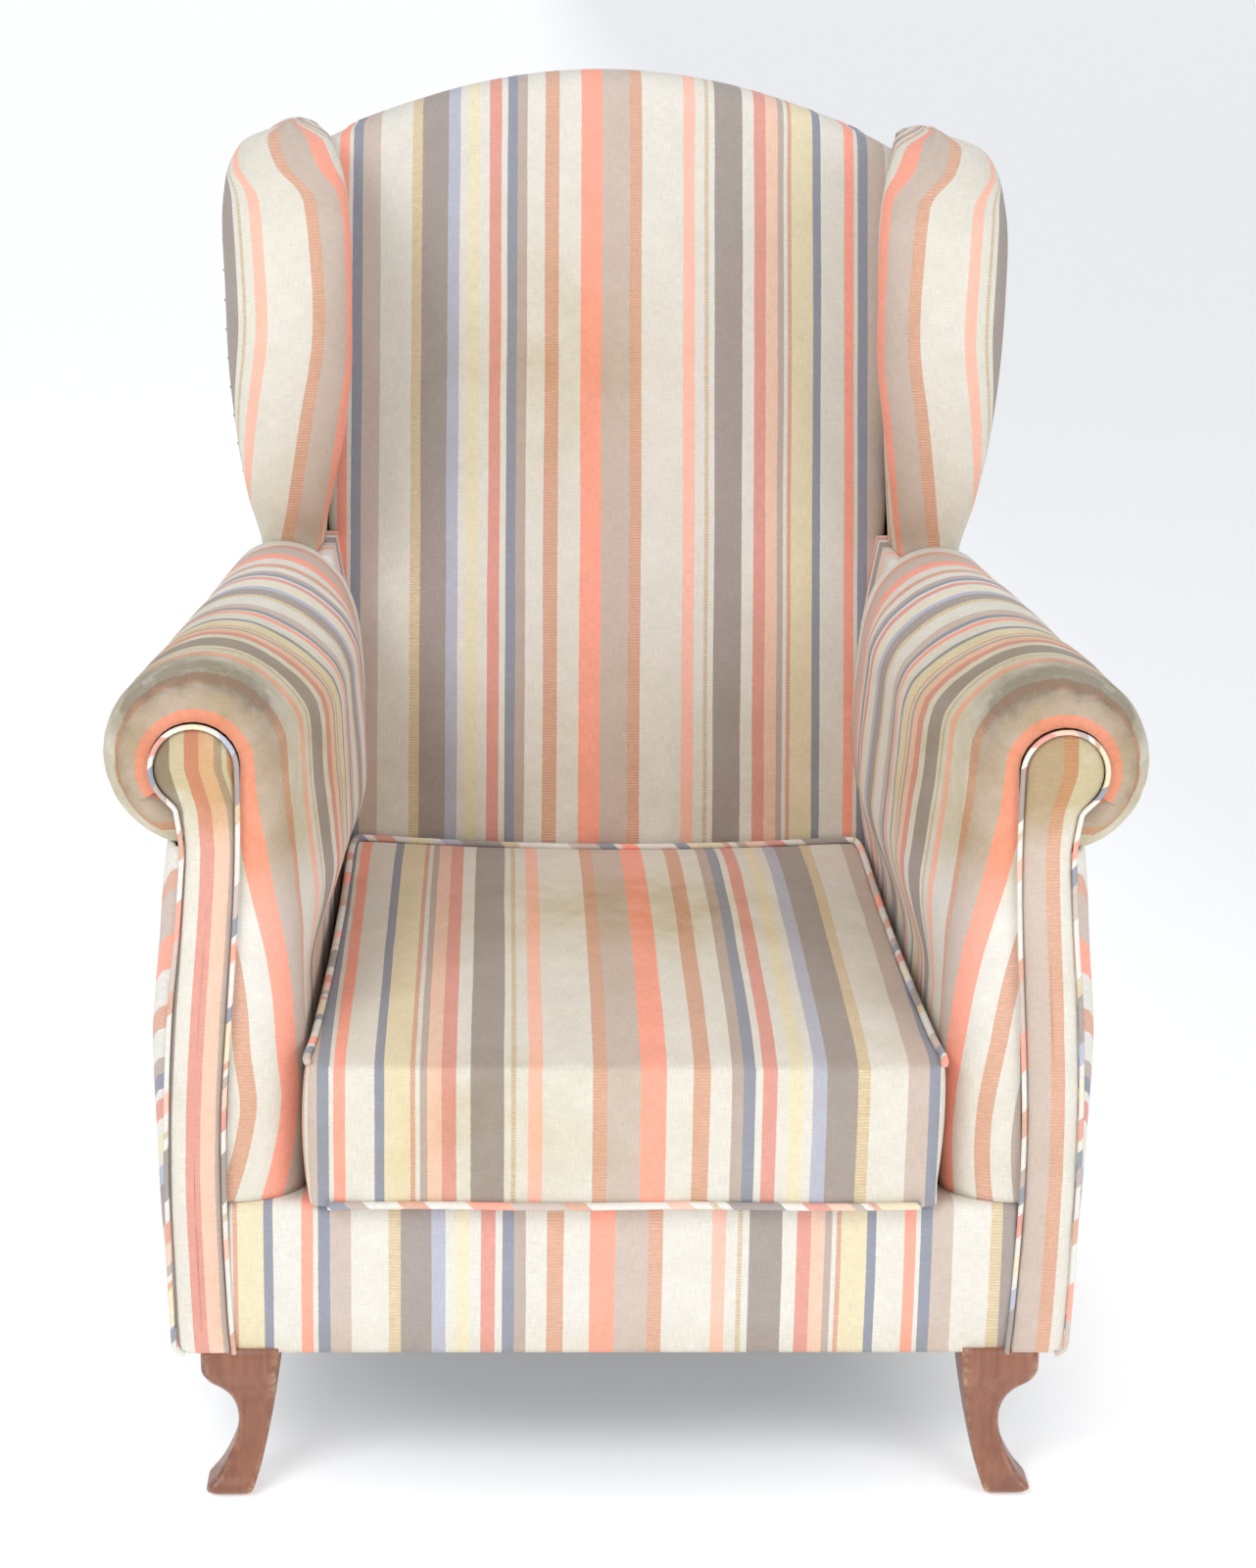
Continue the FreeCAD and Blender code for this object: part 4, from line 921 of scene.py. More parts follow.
def back_padding():
    """Padded inside back: side views across it, bulging in the middle and rolled over the arch."""
    share = np.linspace(-1, 1, 181)
    x = share * 0.272
    top = arch_top(x)
    bulge = 0.016 * (1 - (x / 0.300) ** 2)
    edge = 0.028
    low = stack(x, 0.548, DECK_TOP + 0.0005)
    seat = stack(x, 0.544, 0.385)
    face_top = stack(x, inside_y(top - edge), top - edge)
    face_mid = stack(x, (seat[:, 1] + face_top[:, 1]) / 2 - bulge, (seat[:, 2] + face_top[:, 2]) / 2)
    crown_mid = stack(x, inside_y(top) + edge * 0.20, top - edge * 0.26)
    crown_end = stack(x, inside_y(top) + edge, top)
    rear_high = stack(x, outside_y(top) - 0.025, top)
    rear_mid = stack(x, outside_y(top) - 0.011, top - 0.005)
    rear_low = stack(x, outside_y(top - 0.020) - 0.0055, top - 0.020)
    foot = stack(x, outside_y(DECK_TOP) - 0.06, DECK_TOP + 0.0005)
    behind = stack(x, outside_y(top - 0.05) - 0.06, top - 0.05)
    parts = [between(low, seat, np.linspace(0, 1, 12)[:-1]),
             bow(seat, face_mid, face_top, np.linspace(0, 1, 120)),
             bow(face_top, crown_mid, crown_end, np.linspace(0, 1, 16)[1:]),
             between(crown_end, rear_high, np.linspace(0, 1, 8)[1:-1]),
             bow(rear_high, rear_mid, rear_low, np.linspace(0, 1, 9)),
             between(behind, foot, np.linspace(0, 1, 14))]
    points = np.concatenate(parts, axis=1)
    half = back_half(points[..., 2])
    points[..., 0] = share[:, None] * (half - 0.0008)
    inset = np.clip((np.abs(points[..., 0]) - (half - 0.022)) / 0.022, 0, 1)
    shown = np.zeros(points.shape[1])
    shown[1:sum(part.shape[1] for part in parts[:3])] = 1
    points[..., 1] += 0.016 * (1 - np.sqrt(1 - inset**2 * 0.999)) * shown
    push = 0.0016 * ripple(points, 61, 0.20) + 0.0004 * ripple(points, 62, 0.05)
    points[..., 1] -= push * shown * (1 - inset)
    u = BACK_START + points[..., 0]
    v = np.repeat(run_length(points, axis=1)[len(share) // 2][None], len(share), axis=0)
    high = points[..., 2]
    ageing = 0.55 * np.exp(-((points[..., 0] + 0.05) / 0.09) ** 2 - ((high - 0.80) / 0.10) ** 2)
    ageing += 0.28 * ease((0.62 - high) / 0.2) + 0.10
    return cover("back_cover", points, closed_cloth(u, v, points), node="back_padding", around=True,
                 capped=True, marks={"ageing": ageing})


def outside_back_panel():
    """Cover of the outside back, drawn over the frame, with its own arch at the top."""
    share = np.linspace(-1, 1, 110)[:, None]
    climb = np.linspace(0, 1, 130)[None, :]
    top = arch_top(share * 0.270) - 0.004 - 0.022 * ease((np.abs(share) - 0.84) / 0.16)
    z = COVER_BOTTOM + climb * (top - COVER_BOTTOM)
    half = outer_x(outside_y(np.minimum(z, 0.985))) - 0.0015
    puff = rise_from_edge(1 - np.abs(share), 8) * rise_from_edge(np.minimum(climb, 1 - climb), 8)
    points = stack(share * half, outside_y(z) - 0.0012 + 0.003 * puff, z)
    points[..., 1] += 0.0008 * ripple(points, 71, 0.16)
    cloth = stack(BACK_START + points[..., 0], points[..., 2])
    made = cover("outside_back_cover", points, cloth, node="outside_back_panel", fix_normals=False)
    return sheet_wall(made, (0, 1, 0), 0.0030)


# Seat

def front_border():
    """Cover of the front rail: one closed side view, rolled over the top, carried across."""
    turn = np.radians(np.linspace(0, 90, 10))
    lower = np.stack([np.full(26, 0.0), np.linspace(COVER_BOTTOM, DECK_TOP - 0.008, 26)], axis=1)
    lower[:, 0] -= 0.0022 * np.sin(np.linspace(0, math.pi, 26))
    over = np.stack([0.008 - 0.008 * np.cos(turn), DECK_TOP - 0.008 + 0.008 * np.sin(turn)], axis=1)[1:]
    back = np.array([(0.040, DECK_TOP), (0.040, 0.2305), (0.008, 0.2305), (0.008, COVER_BOTTOM)])
    outline = np.concatenate([lower, over, back])
    x = np.linspace(-0.3035, 0.3035, 180)
    points = stack(x[:, None], outline[None, :, 0], outline[None, :, 1])
    shown = np.zeros(len(outline))
    shown[1:len(lower) + len(over) - 1] = 1
    points[..., 1] -= 0.0008 * ripple(points, 81, 0.12) * shown
    v = np.repeat(run_length(points, axis=1)[:1], len(x), axis=0)
    ageing = 0.12 + 0.25 * ease((0.16 - points[..., 2]) / 0.04)
    cloth = closed_cloth(BACK_START + points[..., 0], v, points)
    return cover("front_border_cover", points, cloth, node="front_border", around=True, capped=True,
                 marks={"ageing": ageing})


def cushion_half(y):
    """Half of the cushion's width at a depth: the sides pull in between the corners by a half sine."""
    along = (y - CUSHION_FRONT) / (CUSHION_REAR - CUSHION_FRONT)
    wider = 0.005 * np.exp(-((y - CUSHION_FRONT) / 0.030) ** 2)
    return inner_x(y) - CUSHION_CLEARANCE + wider - 0.004 * np.sin(math.pi * np.clip(along, 0, 1))


CUSHION_ACROSS = 61
CUSHION_DEEP = 67
CUSHION_BANDS = 15


def cushion_sheet(z, rise, crown, drawn_in):
    """Plan grid of the cushion at one level, with rounded corners and a crown of two half sines."""
    a = np.linspace(-1, 1, CUSHION_ACROSS)[None, :]
    b = np.linspace(-1, 1, CUSHION_DEEP)[:, None]
    corner = np.abs(a) ** 16 * np.abs(b) ** 16
    y = blend(CUSHION_FRONT, CUSHION_REAR, (b * (1 - 0.018 * corner) + 1) / 2) + 0 * a
    x = a * (cushion_half(y) - drawn_in) * (1 - 0.018 * corner)
    full = np.clip(1 - np.abs(a) ** 3.2, 0, 1) * np.clip(1 - np.abs(b) ** 3.2, 0, 1)
    sag = 0.009 * (1 - a**2) * np.clip(b, 0, 1) ** 4
    return stack(x, y, z + (rise - sag * (rise > 0)) * (b + 1) / 2 + crown * full)


def rim(columns, rows):
    """Grid places round the edge of a plan grid, once round from the front left corner."""
    places = [(0, column) for column in range(columns)]
    places += [(row, columns - 1) for row in range(1, rows)]
    places += [(rows - 1, column) for column in range(columns - 2, -1, -1)]
    places += [(row, 0) for row in range(rows - 2, 0, -1)]
    return np.array(places)


def cushion_mesh():
    """Loose cushion in panels: crowned top, flat bottom and a boxing band whose cloth goes round.

    The seams are the rims of top and bottom. The cloth's stripes run from front to back on top and
    down the front, and stand upright along the sides.
    """
    top = cushion_sheet(CUSHION_SEAM, CUSHION_RISE, 0.014, 0.0)
    bottom = cushion_sheet(CUSHION_BOTTOM, 0.0, 0.0, 0.001)
    edge = rim(CUSHION_ACROSS, CUSHION_DEEP)
    upper, lower = top[edge[:, 0], edge[:, 1]], bottom[edge[:, 0], edge[:, 1]]
    share = np.linspace(0, 1, CUSHION_BANDS)[1:-1]
    band = blend(upper[None], lower[None], share[:, None, None])
    away = np.gradient(upper, axis=0)[:, [1, 0, 2]] * (1, -1, 0)
    away /= np.linalg.norm(away, axis=1, keepdims=True)
    band = band + away[None] * (0.0035 * np.sin(share * math.pi))[:, None, None]

    grid = np.arange(CUSHION_ACROSS * CUSHION_DEEP).reshape(CUSHION_DEEP, CUSHION_ACROSS)
    count = grid.size
    vertices = np.concatenate([top.reshape(-1, 3), bottom.reshape(-1, 3), band.reshape(-1, 3)])
    plan = np.stack([grid[:-1, :-1], grid[:-1, 1:], grid[1:, 1:], grid[1:, :-1]], axis=-1).reshape(-1, 4)
    edge_top = grid[edge[:, 0], edge[:, 1]]
    rounds = [edge_top] + [2 * count + row * len(edge) + np.arange(len(edge)) for row in range(len(share))]
    rounds.append(edge_top + count)
    boxing = []
    for above, below in zip(rounds, rounds[1:]):
        boxing.append(np.stack([np.roll(above, -1), above, below, np.roll(below, -1)], axis=-1))
    faces = np.concatenate([plan, plan[:, ::-1] + count, *boxing])
    return vertices, faces, np.concatenate([edge_top, edge_top + count])


def cushion_cloth_uv(made):
    """Cloth coordinates by which way each face looks: x across top and front, y along the sides."""
    mesh = made.data
    corners = np.zeros(len(mesh.loops), np.int32)
    mesh.loops.foreach_get("vertex_index", corners)
    places = np.zeros(len(mesh.vertices) * 3, np.float32)
    mesh.vertices.foreach_get("co", places)
    places = places.reshape(-1, 3)[corners]
    normals = np.zeros(len(mesh.polygons) * 3, np.float32)
    mesh.polygons.foreach_get("normal", normals)
    normals = np.repeat(normals.reshape(-1, 3), 4, axis=0)
    sideways = (np.abs(normals[:, 0]) > 0.75) & (np.abs(normals[:, 2]) < 0.5)
    upright = (np.abs(normals[:, 1]) > 0.6) & (np.abs(normals[:, 2]) < 0.6)
    across = np.where(sideways, places[:, 1] * np.sign(normals[:, 0]), -places[:, 0])
    along = np.where(sideways | upright, places[:, 2], places[:, 1])
    uv = stack(CUSHION_START + across, along)
    mesh.uv_layers["cloth"].data.foreach_set("uv", uv.astype(np.float32).ravel())


def blown_up(made, seams, limit):
    """Cloth simulation of the stuffed cover: pressure inside, seams held, and travel capped."""
    mesh = made.data
    before = np.array([v.co for v in mesh.vertices])
    held = made.vertex_groups.new(name="seams")
    held.add(seams.tolist(), 1.0, "REPLACE")
    cloth = made.modifiers.new("stuffing", "CLOTH")
    settings = {"quality": 6, "mass": 0.35, "use_pressure": True, "uniform_pressure_force": 3.2,
                "tension_stiffness": 12, "compression_stiffness": 12, "shear_stiffness": 6,
                "bending_stiffness": 2.0, "vertex_group_mass": "seams"}
    for setting, value in settings.items():
        setattr(cloth.settings, setting, value)
    cloth.settings.effector_weights.gravity = 0
    cloth.collision_settings.use_collision = False
    cloth.point_cache.frame_start = 1
    cloth.point_cache.frame_end = 24
    for moment in range(1, 21):
        bpy.context.scene.frame_set(moment)
    shaped = made.evaluated_get(bpy.context.evaluated_depsgraph_get()).to_mesh()
    after = np.array([v.co for v in shaped.vertices])
    made.modifiers.remove(cloth)
    bpy.context.scene.frame_set(1)
    travel = after - before
    length = np.linalg.norm(travel, axis=1, keepdims=True)
    travel *= np.minimum(1, limit / np.maximum(length, 1e-9))
    mesh.vertices.foreach_set("co", (before + travel).astype(np.float32).ravel())
    mesh.update()


def seat_cushion():
    """Loose seat cushion: panels blown up by simulation, then creased by code and smoothed once."""
    vertices, faces, seams = cushion_mesh()
    made = piece("seat_cushion_cover", vertices, faces.tolist(), CLOTH, body="seat_cushion",
                 slot="striped_fabric", stands_for=["cushion_cover", "cushion_filling"])
    blown_up(made, seams, 0.010)
    mesh = made.data
    points = np.array([v.co for v in mesh.vertices])
    x, y, z = points.T
    y = y + DEPTH_CENTRE
    loose = np.ones(len(points))
    loose[seams] = 0
    normals = np.array([v.normal for v in mesh.vertices])
    drawn = 0.0010 * np.sin(x * 95 + 1.7 * np.sin(y * 9)) * np.exp(-((y - CUSHION_FRONT) / 0.030) ** 2)
    drawn += 0.0012 * np.sin(y * 80) * np.exp(-((np.abs(x) - 0.236) / 0.030) ** 2)
    soft = 0.0016 * ripple(points, 91, 0.15) + 0.0004 * ripple(points, 92, 0.05)
    bottom = ease((z - CUSHION_BOTTOM - 0.004) / 0.01)
    points += normals * ((soft + drawn) * loose * bottom)[:, None]
    points[:, 2] = np.maximum(points[:, 2], CUSHION_BOTTOM)
    mesh.vertices.foreach_set("co", points.astype(np.float32).ravel())
    mesh.update()
    cushion_cloth_uv(made)
    crease = mesh.attributes.new("crease_edge", "FLOAT", "EDGE")
    pairs = np.zeros(len(mesh.edges) * 2, np.int32)
    mesh.edges.foreach_get("vertices", pairs)
    on_seam = np.isin(pairs.reshape(-1, 2), seams).all(axis=1)
    crease.data.foreach_set("value", np.where(on_seam, 0.35, 0.0).astype(np.float32))
    smooth = made.modifiers.new("smooth cloth", "SUBSURF")
    smooth.levels = smooth.render_levels = 1
    patch = 0.30 + 0.75 * np.exp(-((x - 0.02) / 0.12) ** 2 - ((y - 0.30) / 0.10) ** 2)
    patch += 0.45 * np.exp(-((x + 0.10) / 0.07) ** 2 - ((z - 0.31) / 0.05) ** 2) * (y < 0.02)
    mark_points(mesh, "ageing", patch)
    edge = rim(CUSHION_ACROSS, CUSHION_DEEP)
    return points[edge[:, 0] * CUSHION_ACROSS + edge[:, 1]] + (0, DEPTH_CENTRE, 0)


def cushion_pipings(rim_points):
    """Cords in the cushion's seams: round the sides and rear on top, and along the bottom front."""
    turned = np.concatenate([rim_points[CUSHION_ACROSS - 1:], rim_points[:1]])
    outward = turned - (0, 0.27, 0)
    outward[:, 2] = 0
    outward /= np.linalg.norm(outward, axis=1, keepdims=True)
    fine = evenly(turned + outward * 0.0006 + (0, 0, 0.0022), 420)
    piping("cushion_piping_top_cover", fine, CUSHION_PIPING, 0.05, body="seat_cushion",
           stands_for=["cushion_piping_top"])
    x = np.linspace(-0.2265, 0.2265, 160)
    sag = 0.0006 * np.sin(x * 30)
    low = stack(x, CUSHION_FRONT - CUSHION_PIPING + 0.0005, CUSHION_BOTTOM + CUSHION_PIPING + 0.0003 + sag)
    piping("cushion_piping_front_cover", low, CUSHION_PIPING, 0.2, body="seat_cushion",
           stands_for=["cushion_piping_front"])


def cushion_zip():
    """Zip in the cushion's rear: a tape and two staggered rows of teeth, each tooth a small block."""
    half, level, rear = 0.190, 0.300, CUSHION_REAR
    x = np.linspace(-half, half, 80)
    outline = np.array([(0.0, -0.012), (0.0008, -0.012), (0.0008, 0.012), (0.0, 0.012)])
    points = stack(x[:, None], rear + 0.0002 + outline[None, :, 0], level + outline[None, :, 1])
    cloth = closed_cloth(points[..., 0], points[..., 2], points)
    surface("zip_tape", points, cloth, ZIP_TAPE, around=True, capped=True, body="seat_cushion",
            slot="zip_tape", stands_for=["zip_chain"])
    pitch = 0.0040
    middle = np.arange(-half + 0.003, half - 0.002, pitch / 2)
    side = np.where(np.arange(len(middle)) % 2 == 0, 1.0, -1.0)
    block = np.array([(x, y, z) for x in (-1, 1) for y in (0, 1) for z in (-1, 1)], float)
    size = np.array([0.0008, 0.0011, 0.0013])
    centres = stack(middle, rear + 0.0010, level + side * 0.0008)
    vertices = (centres[:, None] + block[None] * size).reshape(-1, 3)
    box = np.array([(0, 1, 3, 2), (4, 6, 7, 5), (0, 4, 5, 1), (2, 3, 7, 6), (0, 2, 6, 4), (1, 5, 7, 3)])
    faces = (box[None] + 8 * np.arange(len(middle))[:, None, None]).reshape(-1, 4)
    made = piece("zip_teeth", vertices, faces.tolist(), TACK, body="seat_cushion", slot="zip_tape")
    made.data.polygons.foreach_set("use_smooth", [False] * len(made.data.polygons))


def seat_deck():
    """Padded platform under the cushion: a low crowned slab in lining cloth."""
    a = np.linspace(-1, 1, 90)[None, :]
    b = np.linspace(0, 1, 80)[:, None]
    y = blend(0.041, 0.574, b) + 0 * a
    half = inner_x(y) - 0.0005
    full = rise_from_edge(1 - np.abs(a), 12) * rise_from_edge(np.minimum(b, 1 - b), 14)
    top = stack(a * half, y, 0.2405 + 0.0060 * full)
    low = stack(a * half, y, 0.2304)
    points = np.concatenate([low, top[:, ::-1]], axis=1)
    cloth = closed_cloth(points[..., 0], points[..., 1], points)
    made = surface("seat_deck_cover", points, cloth, DECK_CLOTH, around=True, capped=True,
                   slot="deck_cloth", stands_for=["seat_deck"])


DUST_FRONT = 0.010
DUST_LENGTH = 0.582


def dust_cover():
    """Black cloth stapled under the seat frame, with its corners cut for the legs."""
    a = np.linspace(-1, 1, 70)[None, :]
    b = np.linspace(0, 1, 60)[:, None]
    y = blend(DUST_FRONT, DUST_FRONT + DUST_LENGTH, b)
    wide = outer_x(y) - 0.0075
    notch = 0.066 * (1 - ease((y - 0.070) / 0.006)) + 0.034 * ease((y - 0.535) / 0.006)
    x = a * (wide - notch)
    z = 0.1262 - 0.0010 * np.cos(a * math.pi / 2) * np.sin(b * math.pi)
    points = stack(x, y, z)
    made = surface("dust_cover_cloth", points, points[..., :2], DUST_CLOTH, slot="dust_cloth",
                   fix_normals=False, stands_for=["dust_cover"])
    sheet_wall(made, (0, 0, -1), 0.0006)


STRAP_WIDTH = 0.050
STRAP_LIFT = 0.0009
STRAP_HALF = 0.0008


def webbing(name, runs, cross, across_first, place, stands_for=()):
    """Interlaced straps: each rises over one crossing strap and dips under the next by a cosine.

    runs and cross are the strap middles both ways; place turns flat points into the chair.
    """
    vertices, faces = [], []
    half = STRAP_WIDTH / 2
    ring = [(-half, -STRAP_HALF), (half, -STRAP_HALF), (half, STRAP_HALF), (-half, STRAP_HALF)]
    for index, (middle, start, end) in enumerate(runs):
        along = np.linspace(start, end, 140)
        phase = np.zeros_like(along)
        for number, crossing in enumerate(cross):
            sign = 1 if (number + index + across_first) % 2 == 0 else -1
            near = np.clip((along - crossing) / (STRAP_WIDTH * 0.9), -1, 1)
            phase += sign * np.cos(near * math.pi / 2) ** 2
        points = np.stack([stack(middle + aside, along, STRAP_LIFT * phase + rise)
                           for aside, rise in ring], axis=1)
        faces += grid_faces(len(along), 4, True, len(vertices))[0].tolist()
        faces += end_caps(len(along), 4, len(vertices))
        vertices += place(points.reshape(-1, 3)).tolist()
    return piece(name, np.array(vertices), faces, JUTE, slot="webbing", stands_for=stands_for)


def seat_webbing():
    """Twelve straps interlaced on top of the seat rails."""
    rows = 0.070 + 0.082 * np.arange(6)
    columns = -0.204 + 0.0816 * np.arange(6)
    level = 0.2274
    reach = outer_x(rows + 0.025) - 0.008
    across = [(y, -half, half) for y, half in zip(rows, reach)]
    along = [(x, 0.012, 0.616) for x in columns]
    webbing("seat_webbing_across", across, columns, 0,
            lambda p: stack(p[:, 1], p[:, 0], level + p[:, 2]), ["seat_webbing"])
    webbing("seat_webbing_along", along, rows, 1, lambda p: stack(p[:, 0], p[:, 1], level + p[:, 2]))


def back_webbing():
    """Eleven straps interlaced on the front of the back posts and rails, in their rake."""
    run = math.hypot(1.0, RAKE)
    low = 0.262
    rows = 0.110 + 0.112 * np.arange(6)
    columns = -0.168 + 0.084 * np.arange(5)
    foot = outside_y(low) - 0.050

    def place(p, swap):
        x, climb = (p[:, 1], p[:, 0]) if swap else (p[:, 0], p[:, 1])
        out = p[:, 2] + 0.0024
        return stack(x, foot + climb * RAKE / run - out / run, low + climb / run + out * RAKE / run)

    reach = outer_x(outside_y(low + rows / run)) - 0.021
    across = [(climb, -half, half) for climb, half in zip(rows, reach)]
    top = np.minimum((arch_top(np.abs(columns) + 0.025) - 0.026 - low) * run, 0.768 * run)
    along = [(x, 0.004, end) for x, end in zip(columns, top)]
    webbing("back_webbing_across", across, columns, 0, lambda p: place(p, True), ["back_webbing"])
    webbing("back_webbing_upright", along, rows, 1, lambda p: place(p, False))


# Legs

def sawn_bar(name, node, side, level, inner, outer, front, rear, corner, worn):
    """Sawn and rounded bar: at each level a rectangle whose corners are superellipse arcs.

    The exponent falls with the corner size, so that a small corner leaves the sides nearly flat.
    """
    left, right = (inner, outer) if side > 0 else (-outer, -inner)
    hand = "_right" if side > 0 else "_left"
    turn = np.linspace(0, 2 * math.pi, 64, endpoint=False)
    power = np.asarray(corner)[:, None] * np.ones(64)
    cosine, sine = np.cos(turn)[None], np.sin(turn)[None]
    radius = (np.abs(cosine) ** power + np.abs(sine) ** power) ** (-1 / power)
    x = ((left + right) / 2)[:, None] + ((right - left) / 2)[:, None] * radius * cosine
    y = ((front + rear) / 2)[:, None] + ((rear - front) / 2)[:, None] * radius * sine
    points = stack(x, y, level[:, None])
    edge = np.exp(-((np.abs(np.abs(cosine) - np.abs(sine))) / 0.16) ** 2) * np.ones_like(x)
    cloth = stack(x, points[..., 2])
    cloth = np.concatenate([cloth, cloth[:, :1]], axis=1)
    return surface(name + hand, points, cloth, LEG_WOOD, around=True, capped=True, slot="leg_wood",
                   marks={"worn": edge * worn[:, None]}, stands_for=[node + hand])


# The front leg's four lines, each as heights and places, from the photograph
LEG_OUTER = ((0.003, 0.006, 0.012, 0.017, 0.030, 0.046, 0.062,
              0.074, 0.084, 0.091, 0.097, 0.104, 0.112, 0.127),
             (0.3210, 0.3240, 0.3200, 0.3155, 0.3075, 0.3010, 0.2990,
              0.3010, 0.3060, 0.3130, 0.3215, 0.3262, 0.3270, 0.3270))
LEG_INNER = ((0.003, 0.020, 0.050, 0.085, 0.127), (0.2880, 0.2822, 0.2752, 0.2690, 0.2634))
LEG_FRONT = ((0.003, 0.007, 0.018, 0.030, 0.044, 0.058, 0.072, 0.086, 0.097, 0.106, 0.1265),
             (-0.0010, -0.0040, 0.0010, 0.0060, 0.0092, 0.0110, 0.0092, 0.0050, 0.0000, -0.0028, -0.0028))
LEG_REAR = ((0.003, 0.034, 0.062, 0.095, 0.127), (0.034, 0.038, 0.044, 0.055, 0.068))


def front_leg(side):
    """Front leg sawn in two directions: both side lines and both face lines are smooth curves."""
    level = np.concatenate([[0.003], np.linspace(0.0045, 0.117, 80), [0.1265]])
    inner, outer, front, rear = (through(level, *line)
                                 for line in (LEG_INNER, LEG_OUTER, LEG_FRONT, LEG_REAR))
    corner = np.interp(level, (0.003, 0.0045, 0.117), (7.0, 8.0, 9.0))
    worn = 0.35 + 0.8 * np.exp(-((level - 0.006) / 0.008) ** 2)
    worn += 0.35 * np.exp(-((level - 0.098) / 0.012) ** 2)
    return sawn_bar("front_leg_shaped", "front_leg", side, level, inner, outer, front, rear, corner, worn)


def back_post(side):
    """Back upright and rear leg in one sawn piece; the leg kicks back below the seat."""
    level = np.concatenate([[0.003], np.linspace(0.005, 0.130, 50), np.linspace(0.16, 0.962, 40)])
    below = np.clip((0.120 - level) / 0.120, 0, 1)
    kick = 0.062 * below**1.4
    rear = outside_y(level) - 0.005 + kick - 0.006 * below
    front = outside_y(level) - 0.050 + kick + 0.010 * below
    inner = outer_x(np.maximum(outside_y(level), 0.600)) - 0.032
    outer = inner + 0.026
    inner = inner + 0.003 * below
    corner = np.full(len(level), 10.0)
    worn = 0.4 * np.exp(-(level / 0.03) ** 2)
    return sawn_bar("back_post_shaped", "back_post", side, level, inner, outer, front, rear, corner, worn)


# The chair

for side in (1, -1):
    arm_padding(side)
    arm_behind_wing(side)
    arm_facing(side)
    facing_piping(side)
    outer_arm_panel(side)
    wing_padding(side)
    wing_outer_panel(side)
    wing_tacks(side)
    front_leg(side)
    back_post(side)
back_padding()
outside_back_panel()
front_border()
cushion_pipings(seat_cushion())
cushion_zip()
seat_deck()
dust_cover()
seat_webbing()
back_webbing()

FINISHES = {
    "frame_wood": FRAME_WOOD, "leg_wood": LEG_WOOD, "glide": GLIDE, "steel": STEEL, "zip_metal": ZIP_METAL,
    "webbing": JUTE, "dust_cloth": DUST_CLOTH, "deck_cloth": DECK_CLOTH, "zip_tape": ZIP_TAPE,
}
for part in frame["record"]["subparts"]:
    node = frame["nodes"][part["node"]]
    node.data.materials.clear()
    node.data.materials.append(FINISHES.get(part["material_slot"], CLOTH))


# Room, light and camera

def floor_and_backdrop():
    """White floor that keeps the chair's shadow and looks white to the camera beyond it: it glows by its own
    emission, and that glow holds a painted shadow under the chair and a painted falloff of light towards the
    right.
    """
    mesh = bpy.data.meshes.new("floor")
    half = 60.0
    corners = [(-half, -half, 0), (half, -half, 0), (half, half, 0), (-half, half, 0)]
    mesh.from_pydata(corners, [], [(0, 1, 2, 3)])
    n = Nodes("studio_floor")
    across, along, _ = n.apart(n.place())
    # Distance from the chair's middle in an ellipse: near it the glow is weakened into a painted shadow under
    # the chair
    far = n.math("POWER", n.math("DIVIDE", across, 0.46), 2.0)
    far = n.math("ADD", far, n.math("POWER", n.math("DIVIDE", along, 0.52), 2.0))
    # Painted falloff of light: the glow is weaker towards the right, from beside the chair backwards
    painted_falloff = n.math("MULTIPLY", n.spread(across, 0.1, 0.9), n.spread(along, -1.0, -0.3))
    # Painted glow: the floor's own emission, lowered by the painted falloff and the painted shadow
    painted_glow = n.math("MULTIPLY_ADD", painted_falloff, -0.17, 0.465)
    painted_glow = n.math("MULTIPLY", painted_glow, n.spread(far, 0.25, 1.0, 0.55, 1.0))
    n.join(painted_glow, n.shader.inputs["Emission Strength"])
    n.set(Base_Color=linear((250, 251, 252)), Roughness=0.7, Specular_IOR_Level=0.1,
          Emission_Color=linear((250, 252, 255)))
    mesh.materials.append(n.material)
    floor = bpy.data.objects.new("floor", mesh)
    bpy.context.scene.collection.objects.link(floor)


def lamp(name, place, target, size, power):
    light = bpy.data.lights.new(name, "AREA")
    light.shape = "RECTANGLE"
    light.size, light.size_y = size
    light.energy = power
    made = bpy.data.objects.new(name, light)
    aim = Vector(target) - Vector(place)
    made.rotation_euler = aim.to_track_quat("-Z", "Y").to_euler()
    made.location = place
    bpy.context.scene.collection.objects.link(made)


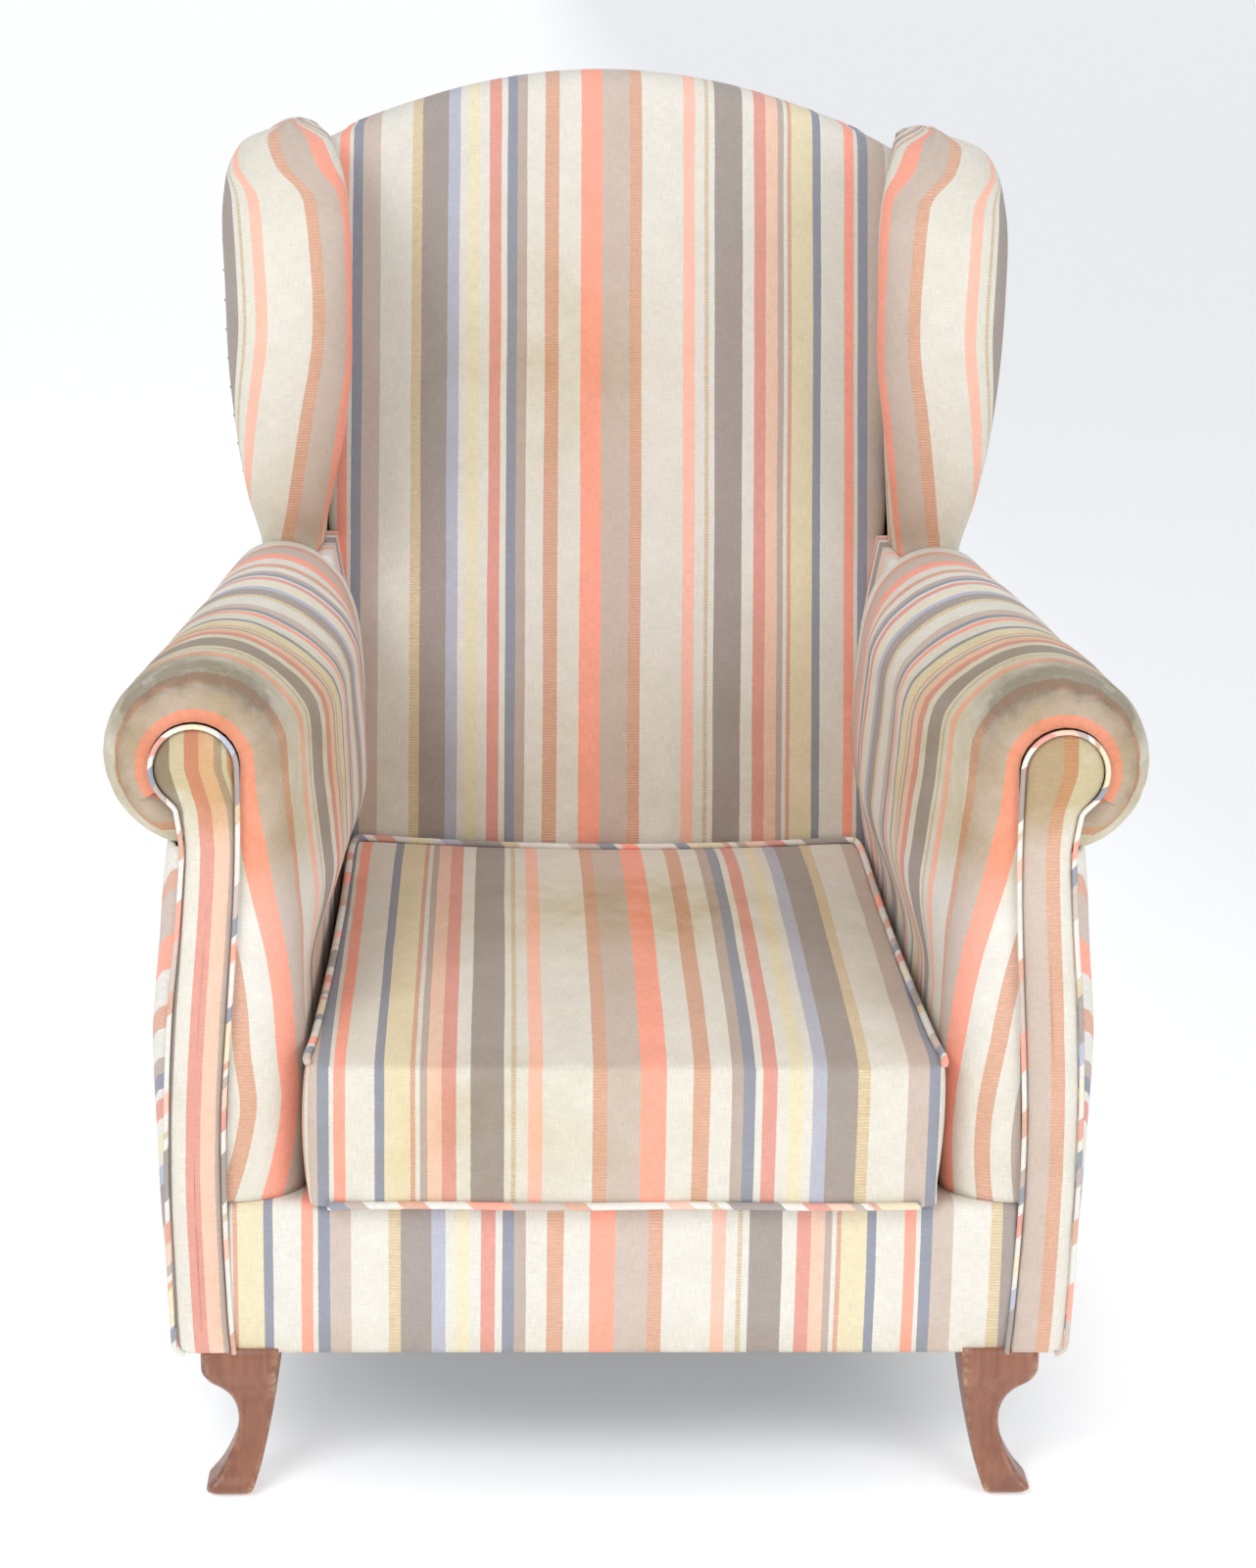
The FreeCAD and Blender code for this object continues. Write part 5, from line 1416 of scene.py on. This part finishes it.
def studio_light():
    """White room: an even world for the chair, pure white where the camera or a gloss sees it."""
    world = bpy.data.worlds.new("white_room")
    world.use_nodes = True
    tree = world.node_tree
    ambient = tree.nodes["Background"]
    ambient.inputs["Color"].default_value = (0.96, 0.98, 1.0, 1)
    ambient.inputs["Strength"].default_value = AMBIENT
    white = tree.nodes.new("ShaderNodeBackground")
    white.inputs["Color"].default_value = (1, 1, 1, 1)
    rays = tree.nodes.new("ShaderNodeLightPath")
    seen = tree.nodes.new("ShaderNodeMath")
    seen.operation = "MAXIMUM"
    tree.links.new(rays.outputs["Is Camera Ray"], seen.inputs[0])
    tree.links.new(rays.outputs["Is Glossy Ray"], seen.inputs[1])
    choose = tree.nodes.new("ShaderNodeMixShader")
    tree.links.new(seen.outputs[0], choose.inputs[0])
    tree.links.new(ambient.outputs[0], choose.inputs[1])
    tree.links.new(white.outputs[0], choose.inputs[2])
    tree.links.new(choose.outputs[0], tree.nodes["World Output"].inputs[0])
    bpy.context.scene.world = world
    for name, place, target, size, power in LAMPS:
        lamp(name, place, target, size, power)


AMBIENT = 0.55
LAMPS = (
    ("key", (-1.3, -2.2, 2.3), (0.0, 0.0, 0.6), (1.2, 1.2), 34),
    ("fill", (1.6, -2.4, 1.5), (0.0, 0.0, 0.5), (1.6, 1.6), 22),
    ("top", (0.0, 0.2, 2.9), (0.0, 0.1, 0.3), (1.6, 1.6), 10),
)


def photograph_camera():
    """Camera of the photograph: its place in the making frame, its turns and its focal length."""
    place = Vector((-0.0974, -2.3812 - DEPTH_CENTRE, 1.2256))
    pitch, yaw, roll = (math.radians(turn) for turn in (15.147, 2.282, 0.932))
    ahead = Vector((math.sin(yaw) * math.cos(pitch), math.cos(yaw) * math.cos(pitch), -math.sin(pitch)))
    right = Vector((math.cos(yaw), -math.sin(yaw), 0))
    up = right.cross(ahead)
    leaned_right = math.cos(roll) * right + math.sin(roll) * up
    leaned_up = math.cos(roll) * up - math.sin(roll) * right
    axes = Matrix((leaned_right, leaned_up, -ahead)).transposed().to_4x4()
    camera = bpy.data.cameras.new("camera")
    camera.sensor_width = 36.0
    camera.lens = 36.0 * 3399.2 / 1600
    made = bpy.data.objects.new("camera", camera)
    made.matrix_world = Matrix.Translation(place) @ axes
    bpy.context.scene.collection.objects.link(made)
    bpy.context.scene.camera = made


floor_and_backdrop()
studio_light()
photograph_camera()
bpy.context.scene.view_settings.view_transform = "Standard"
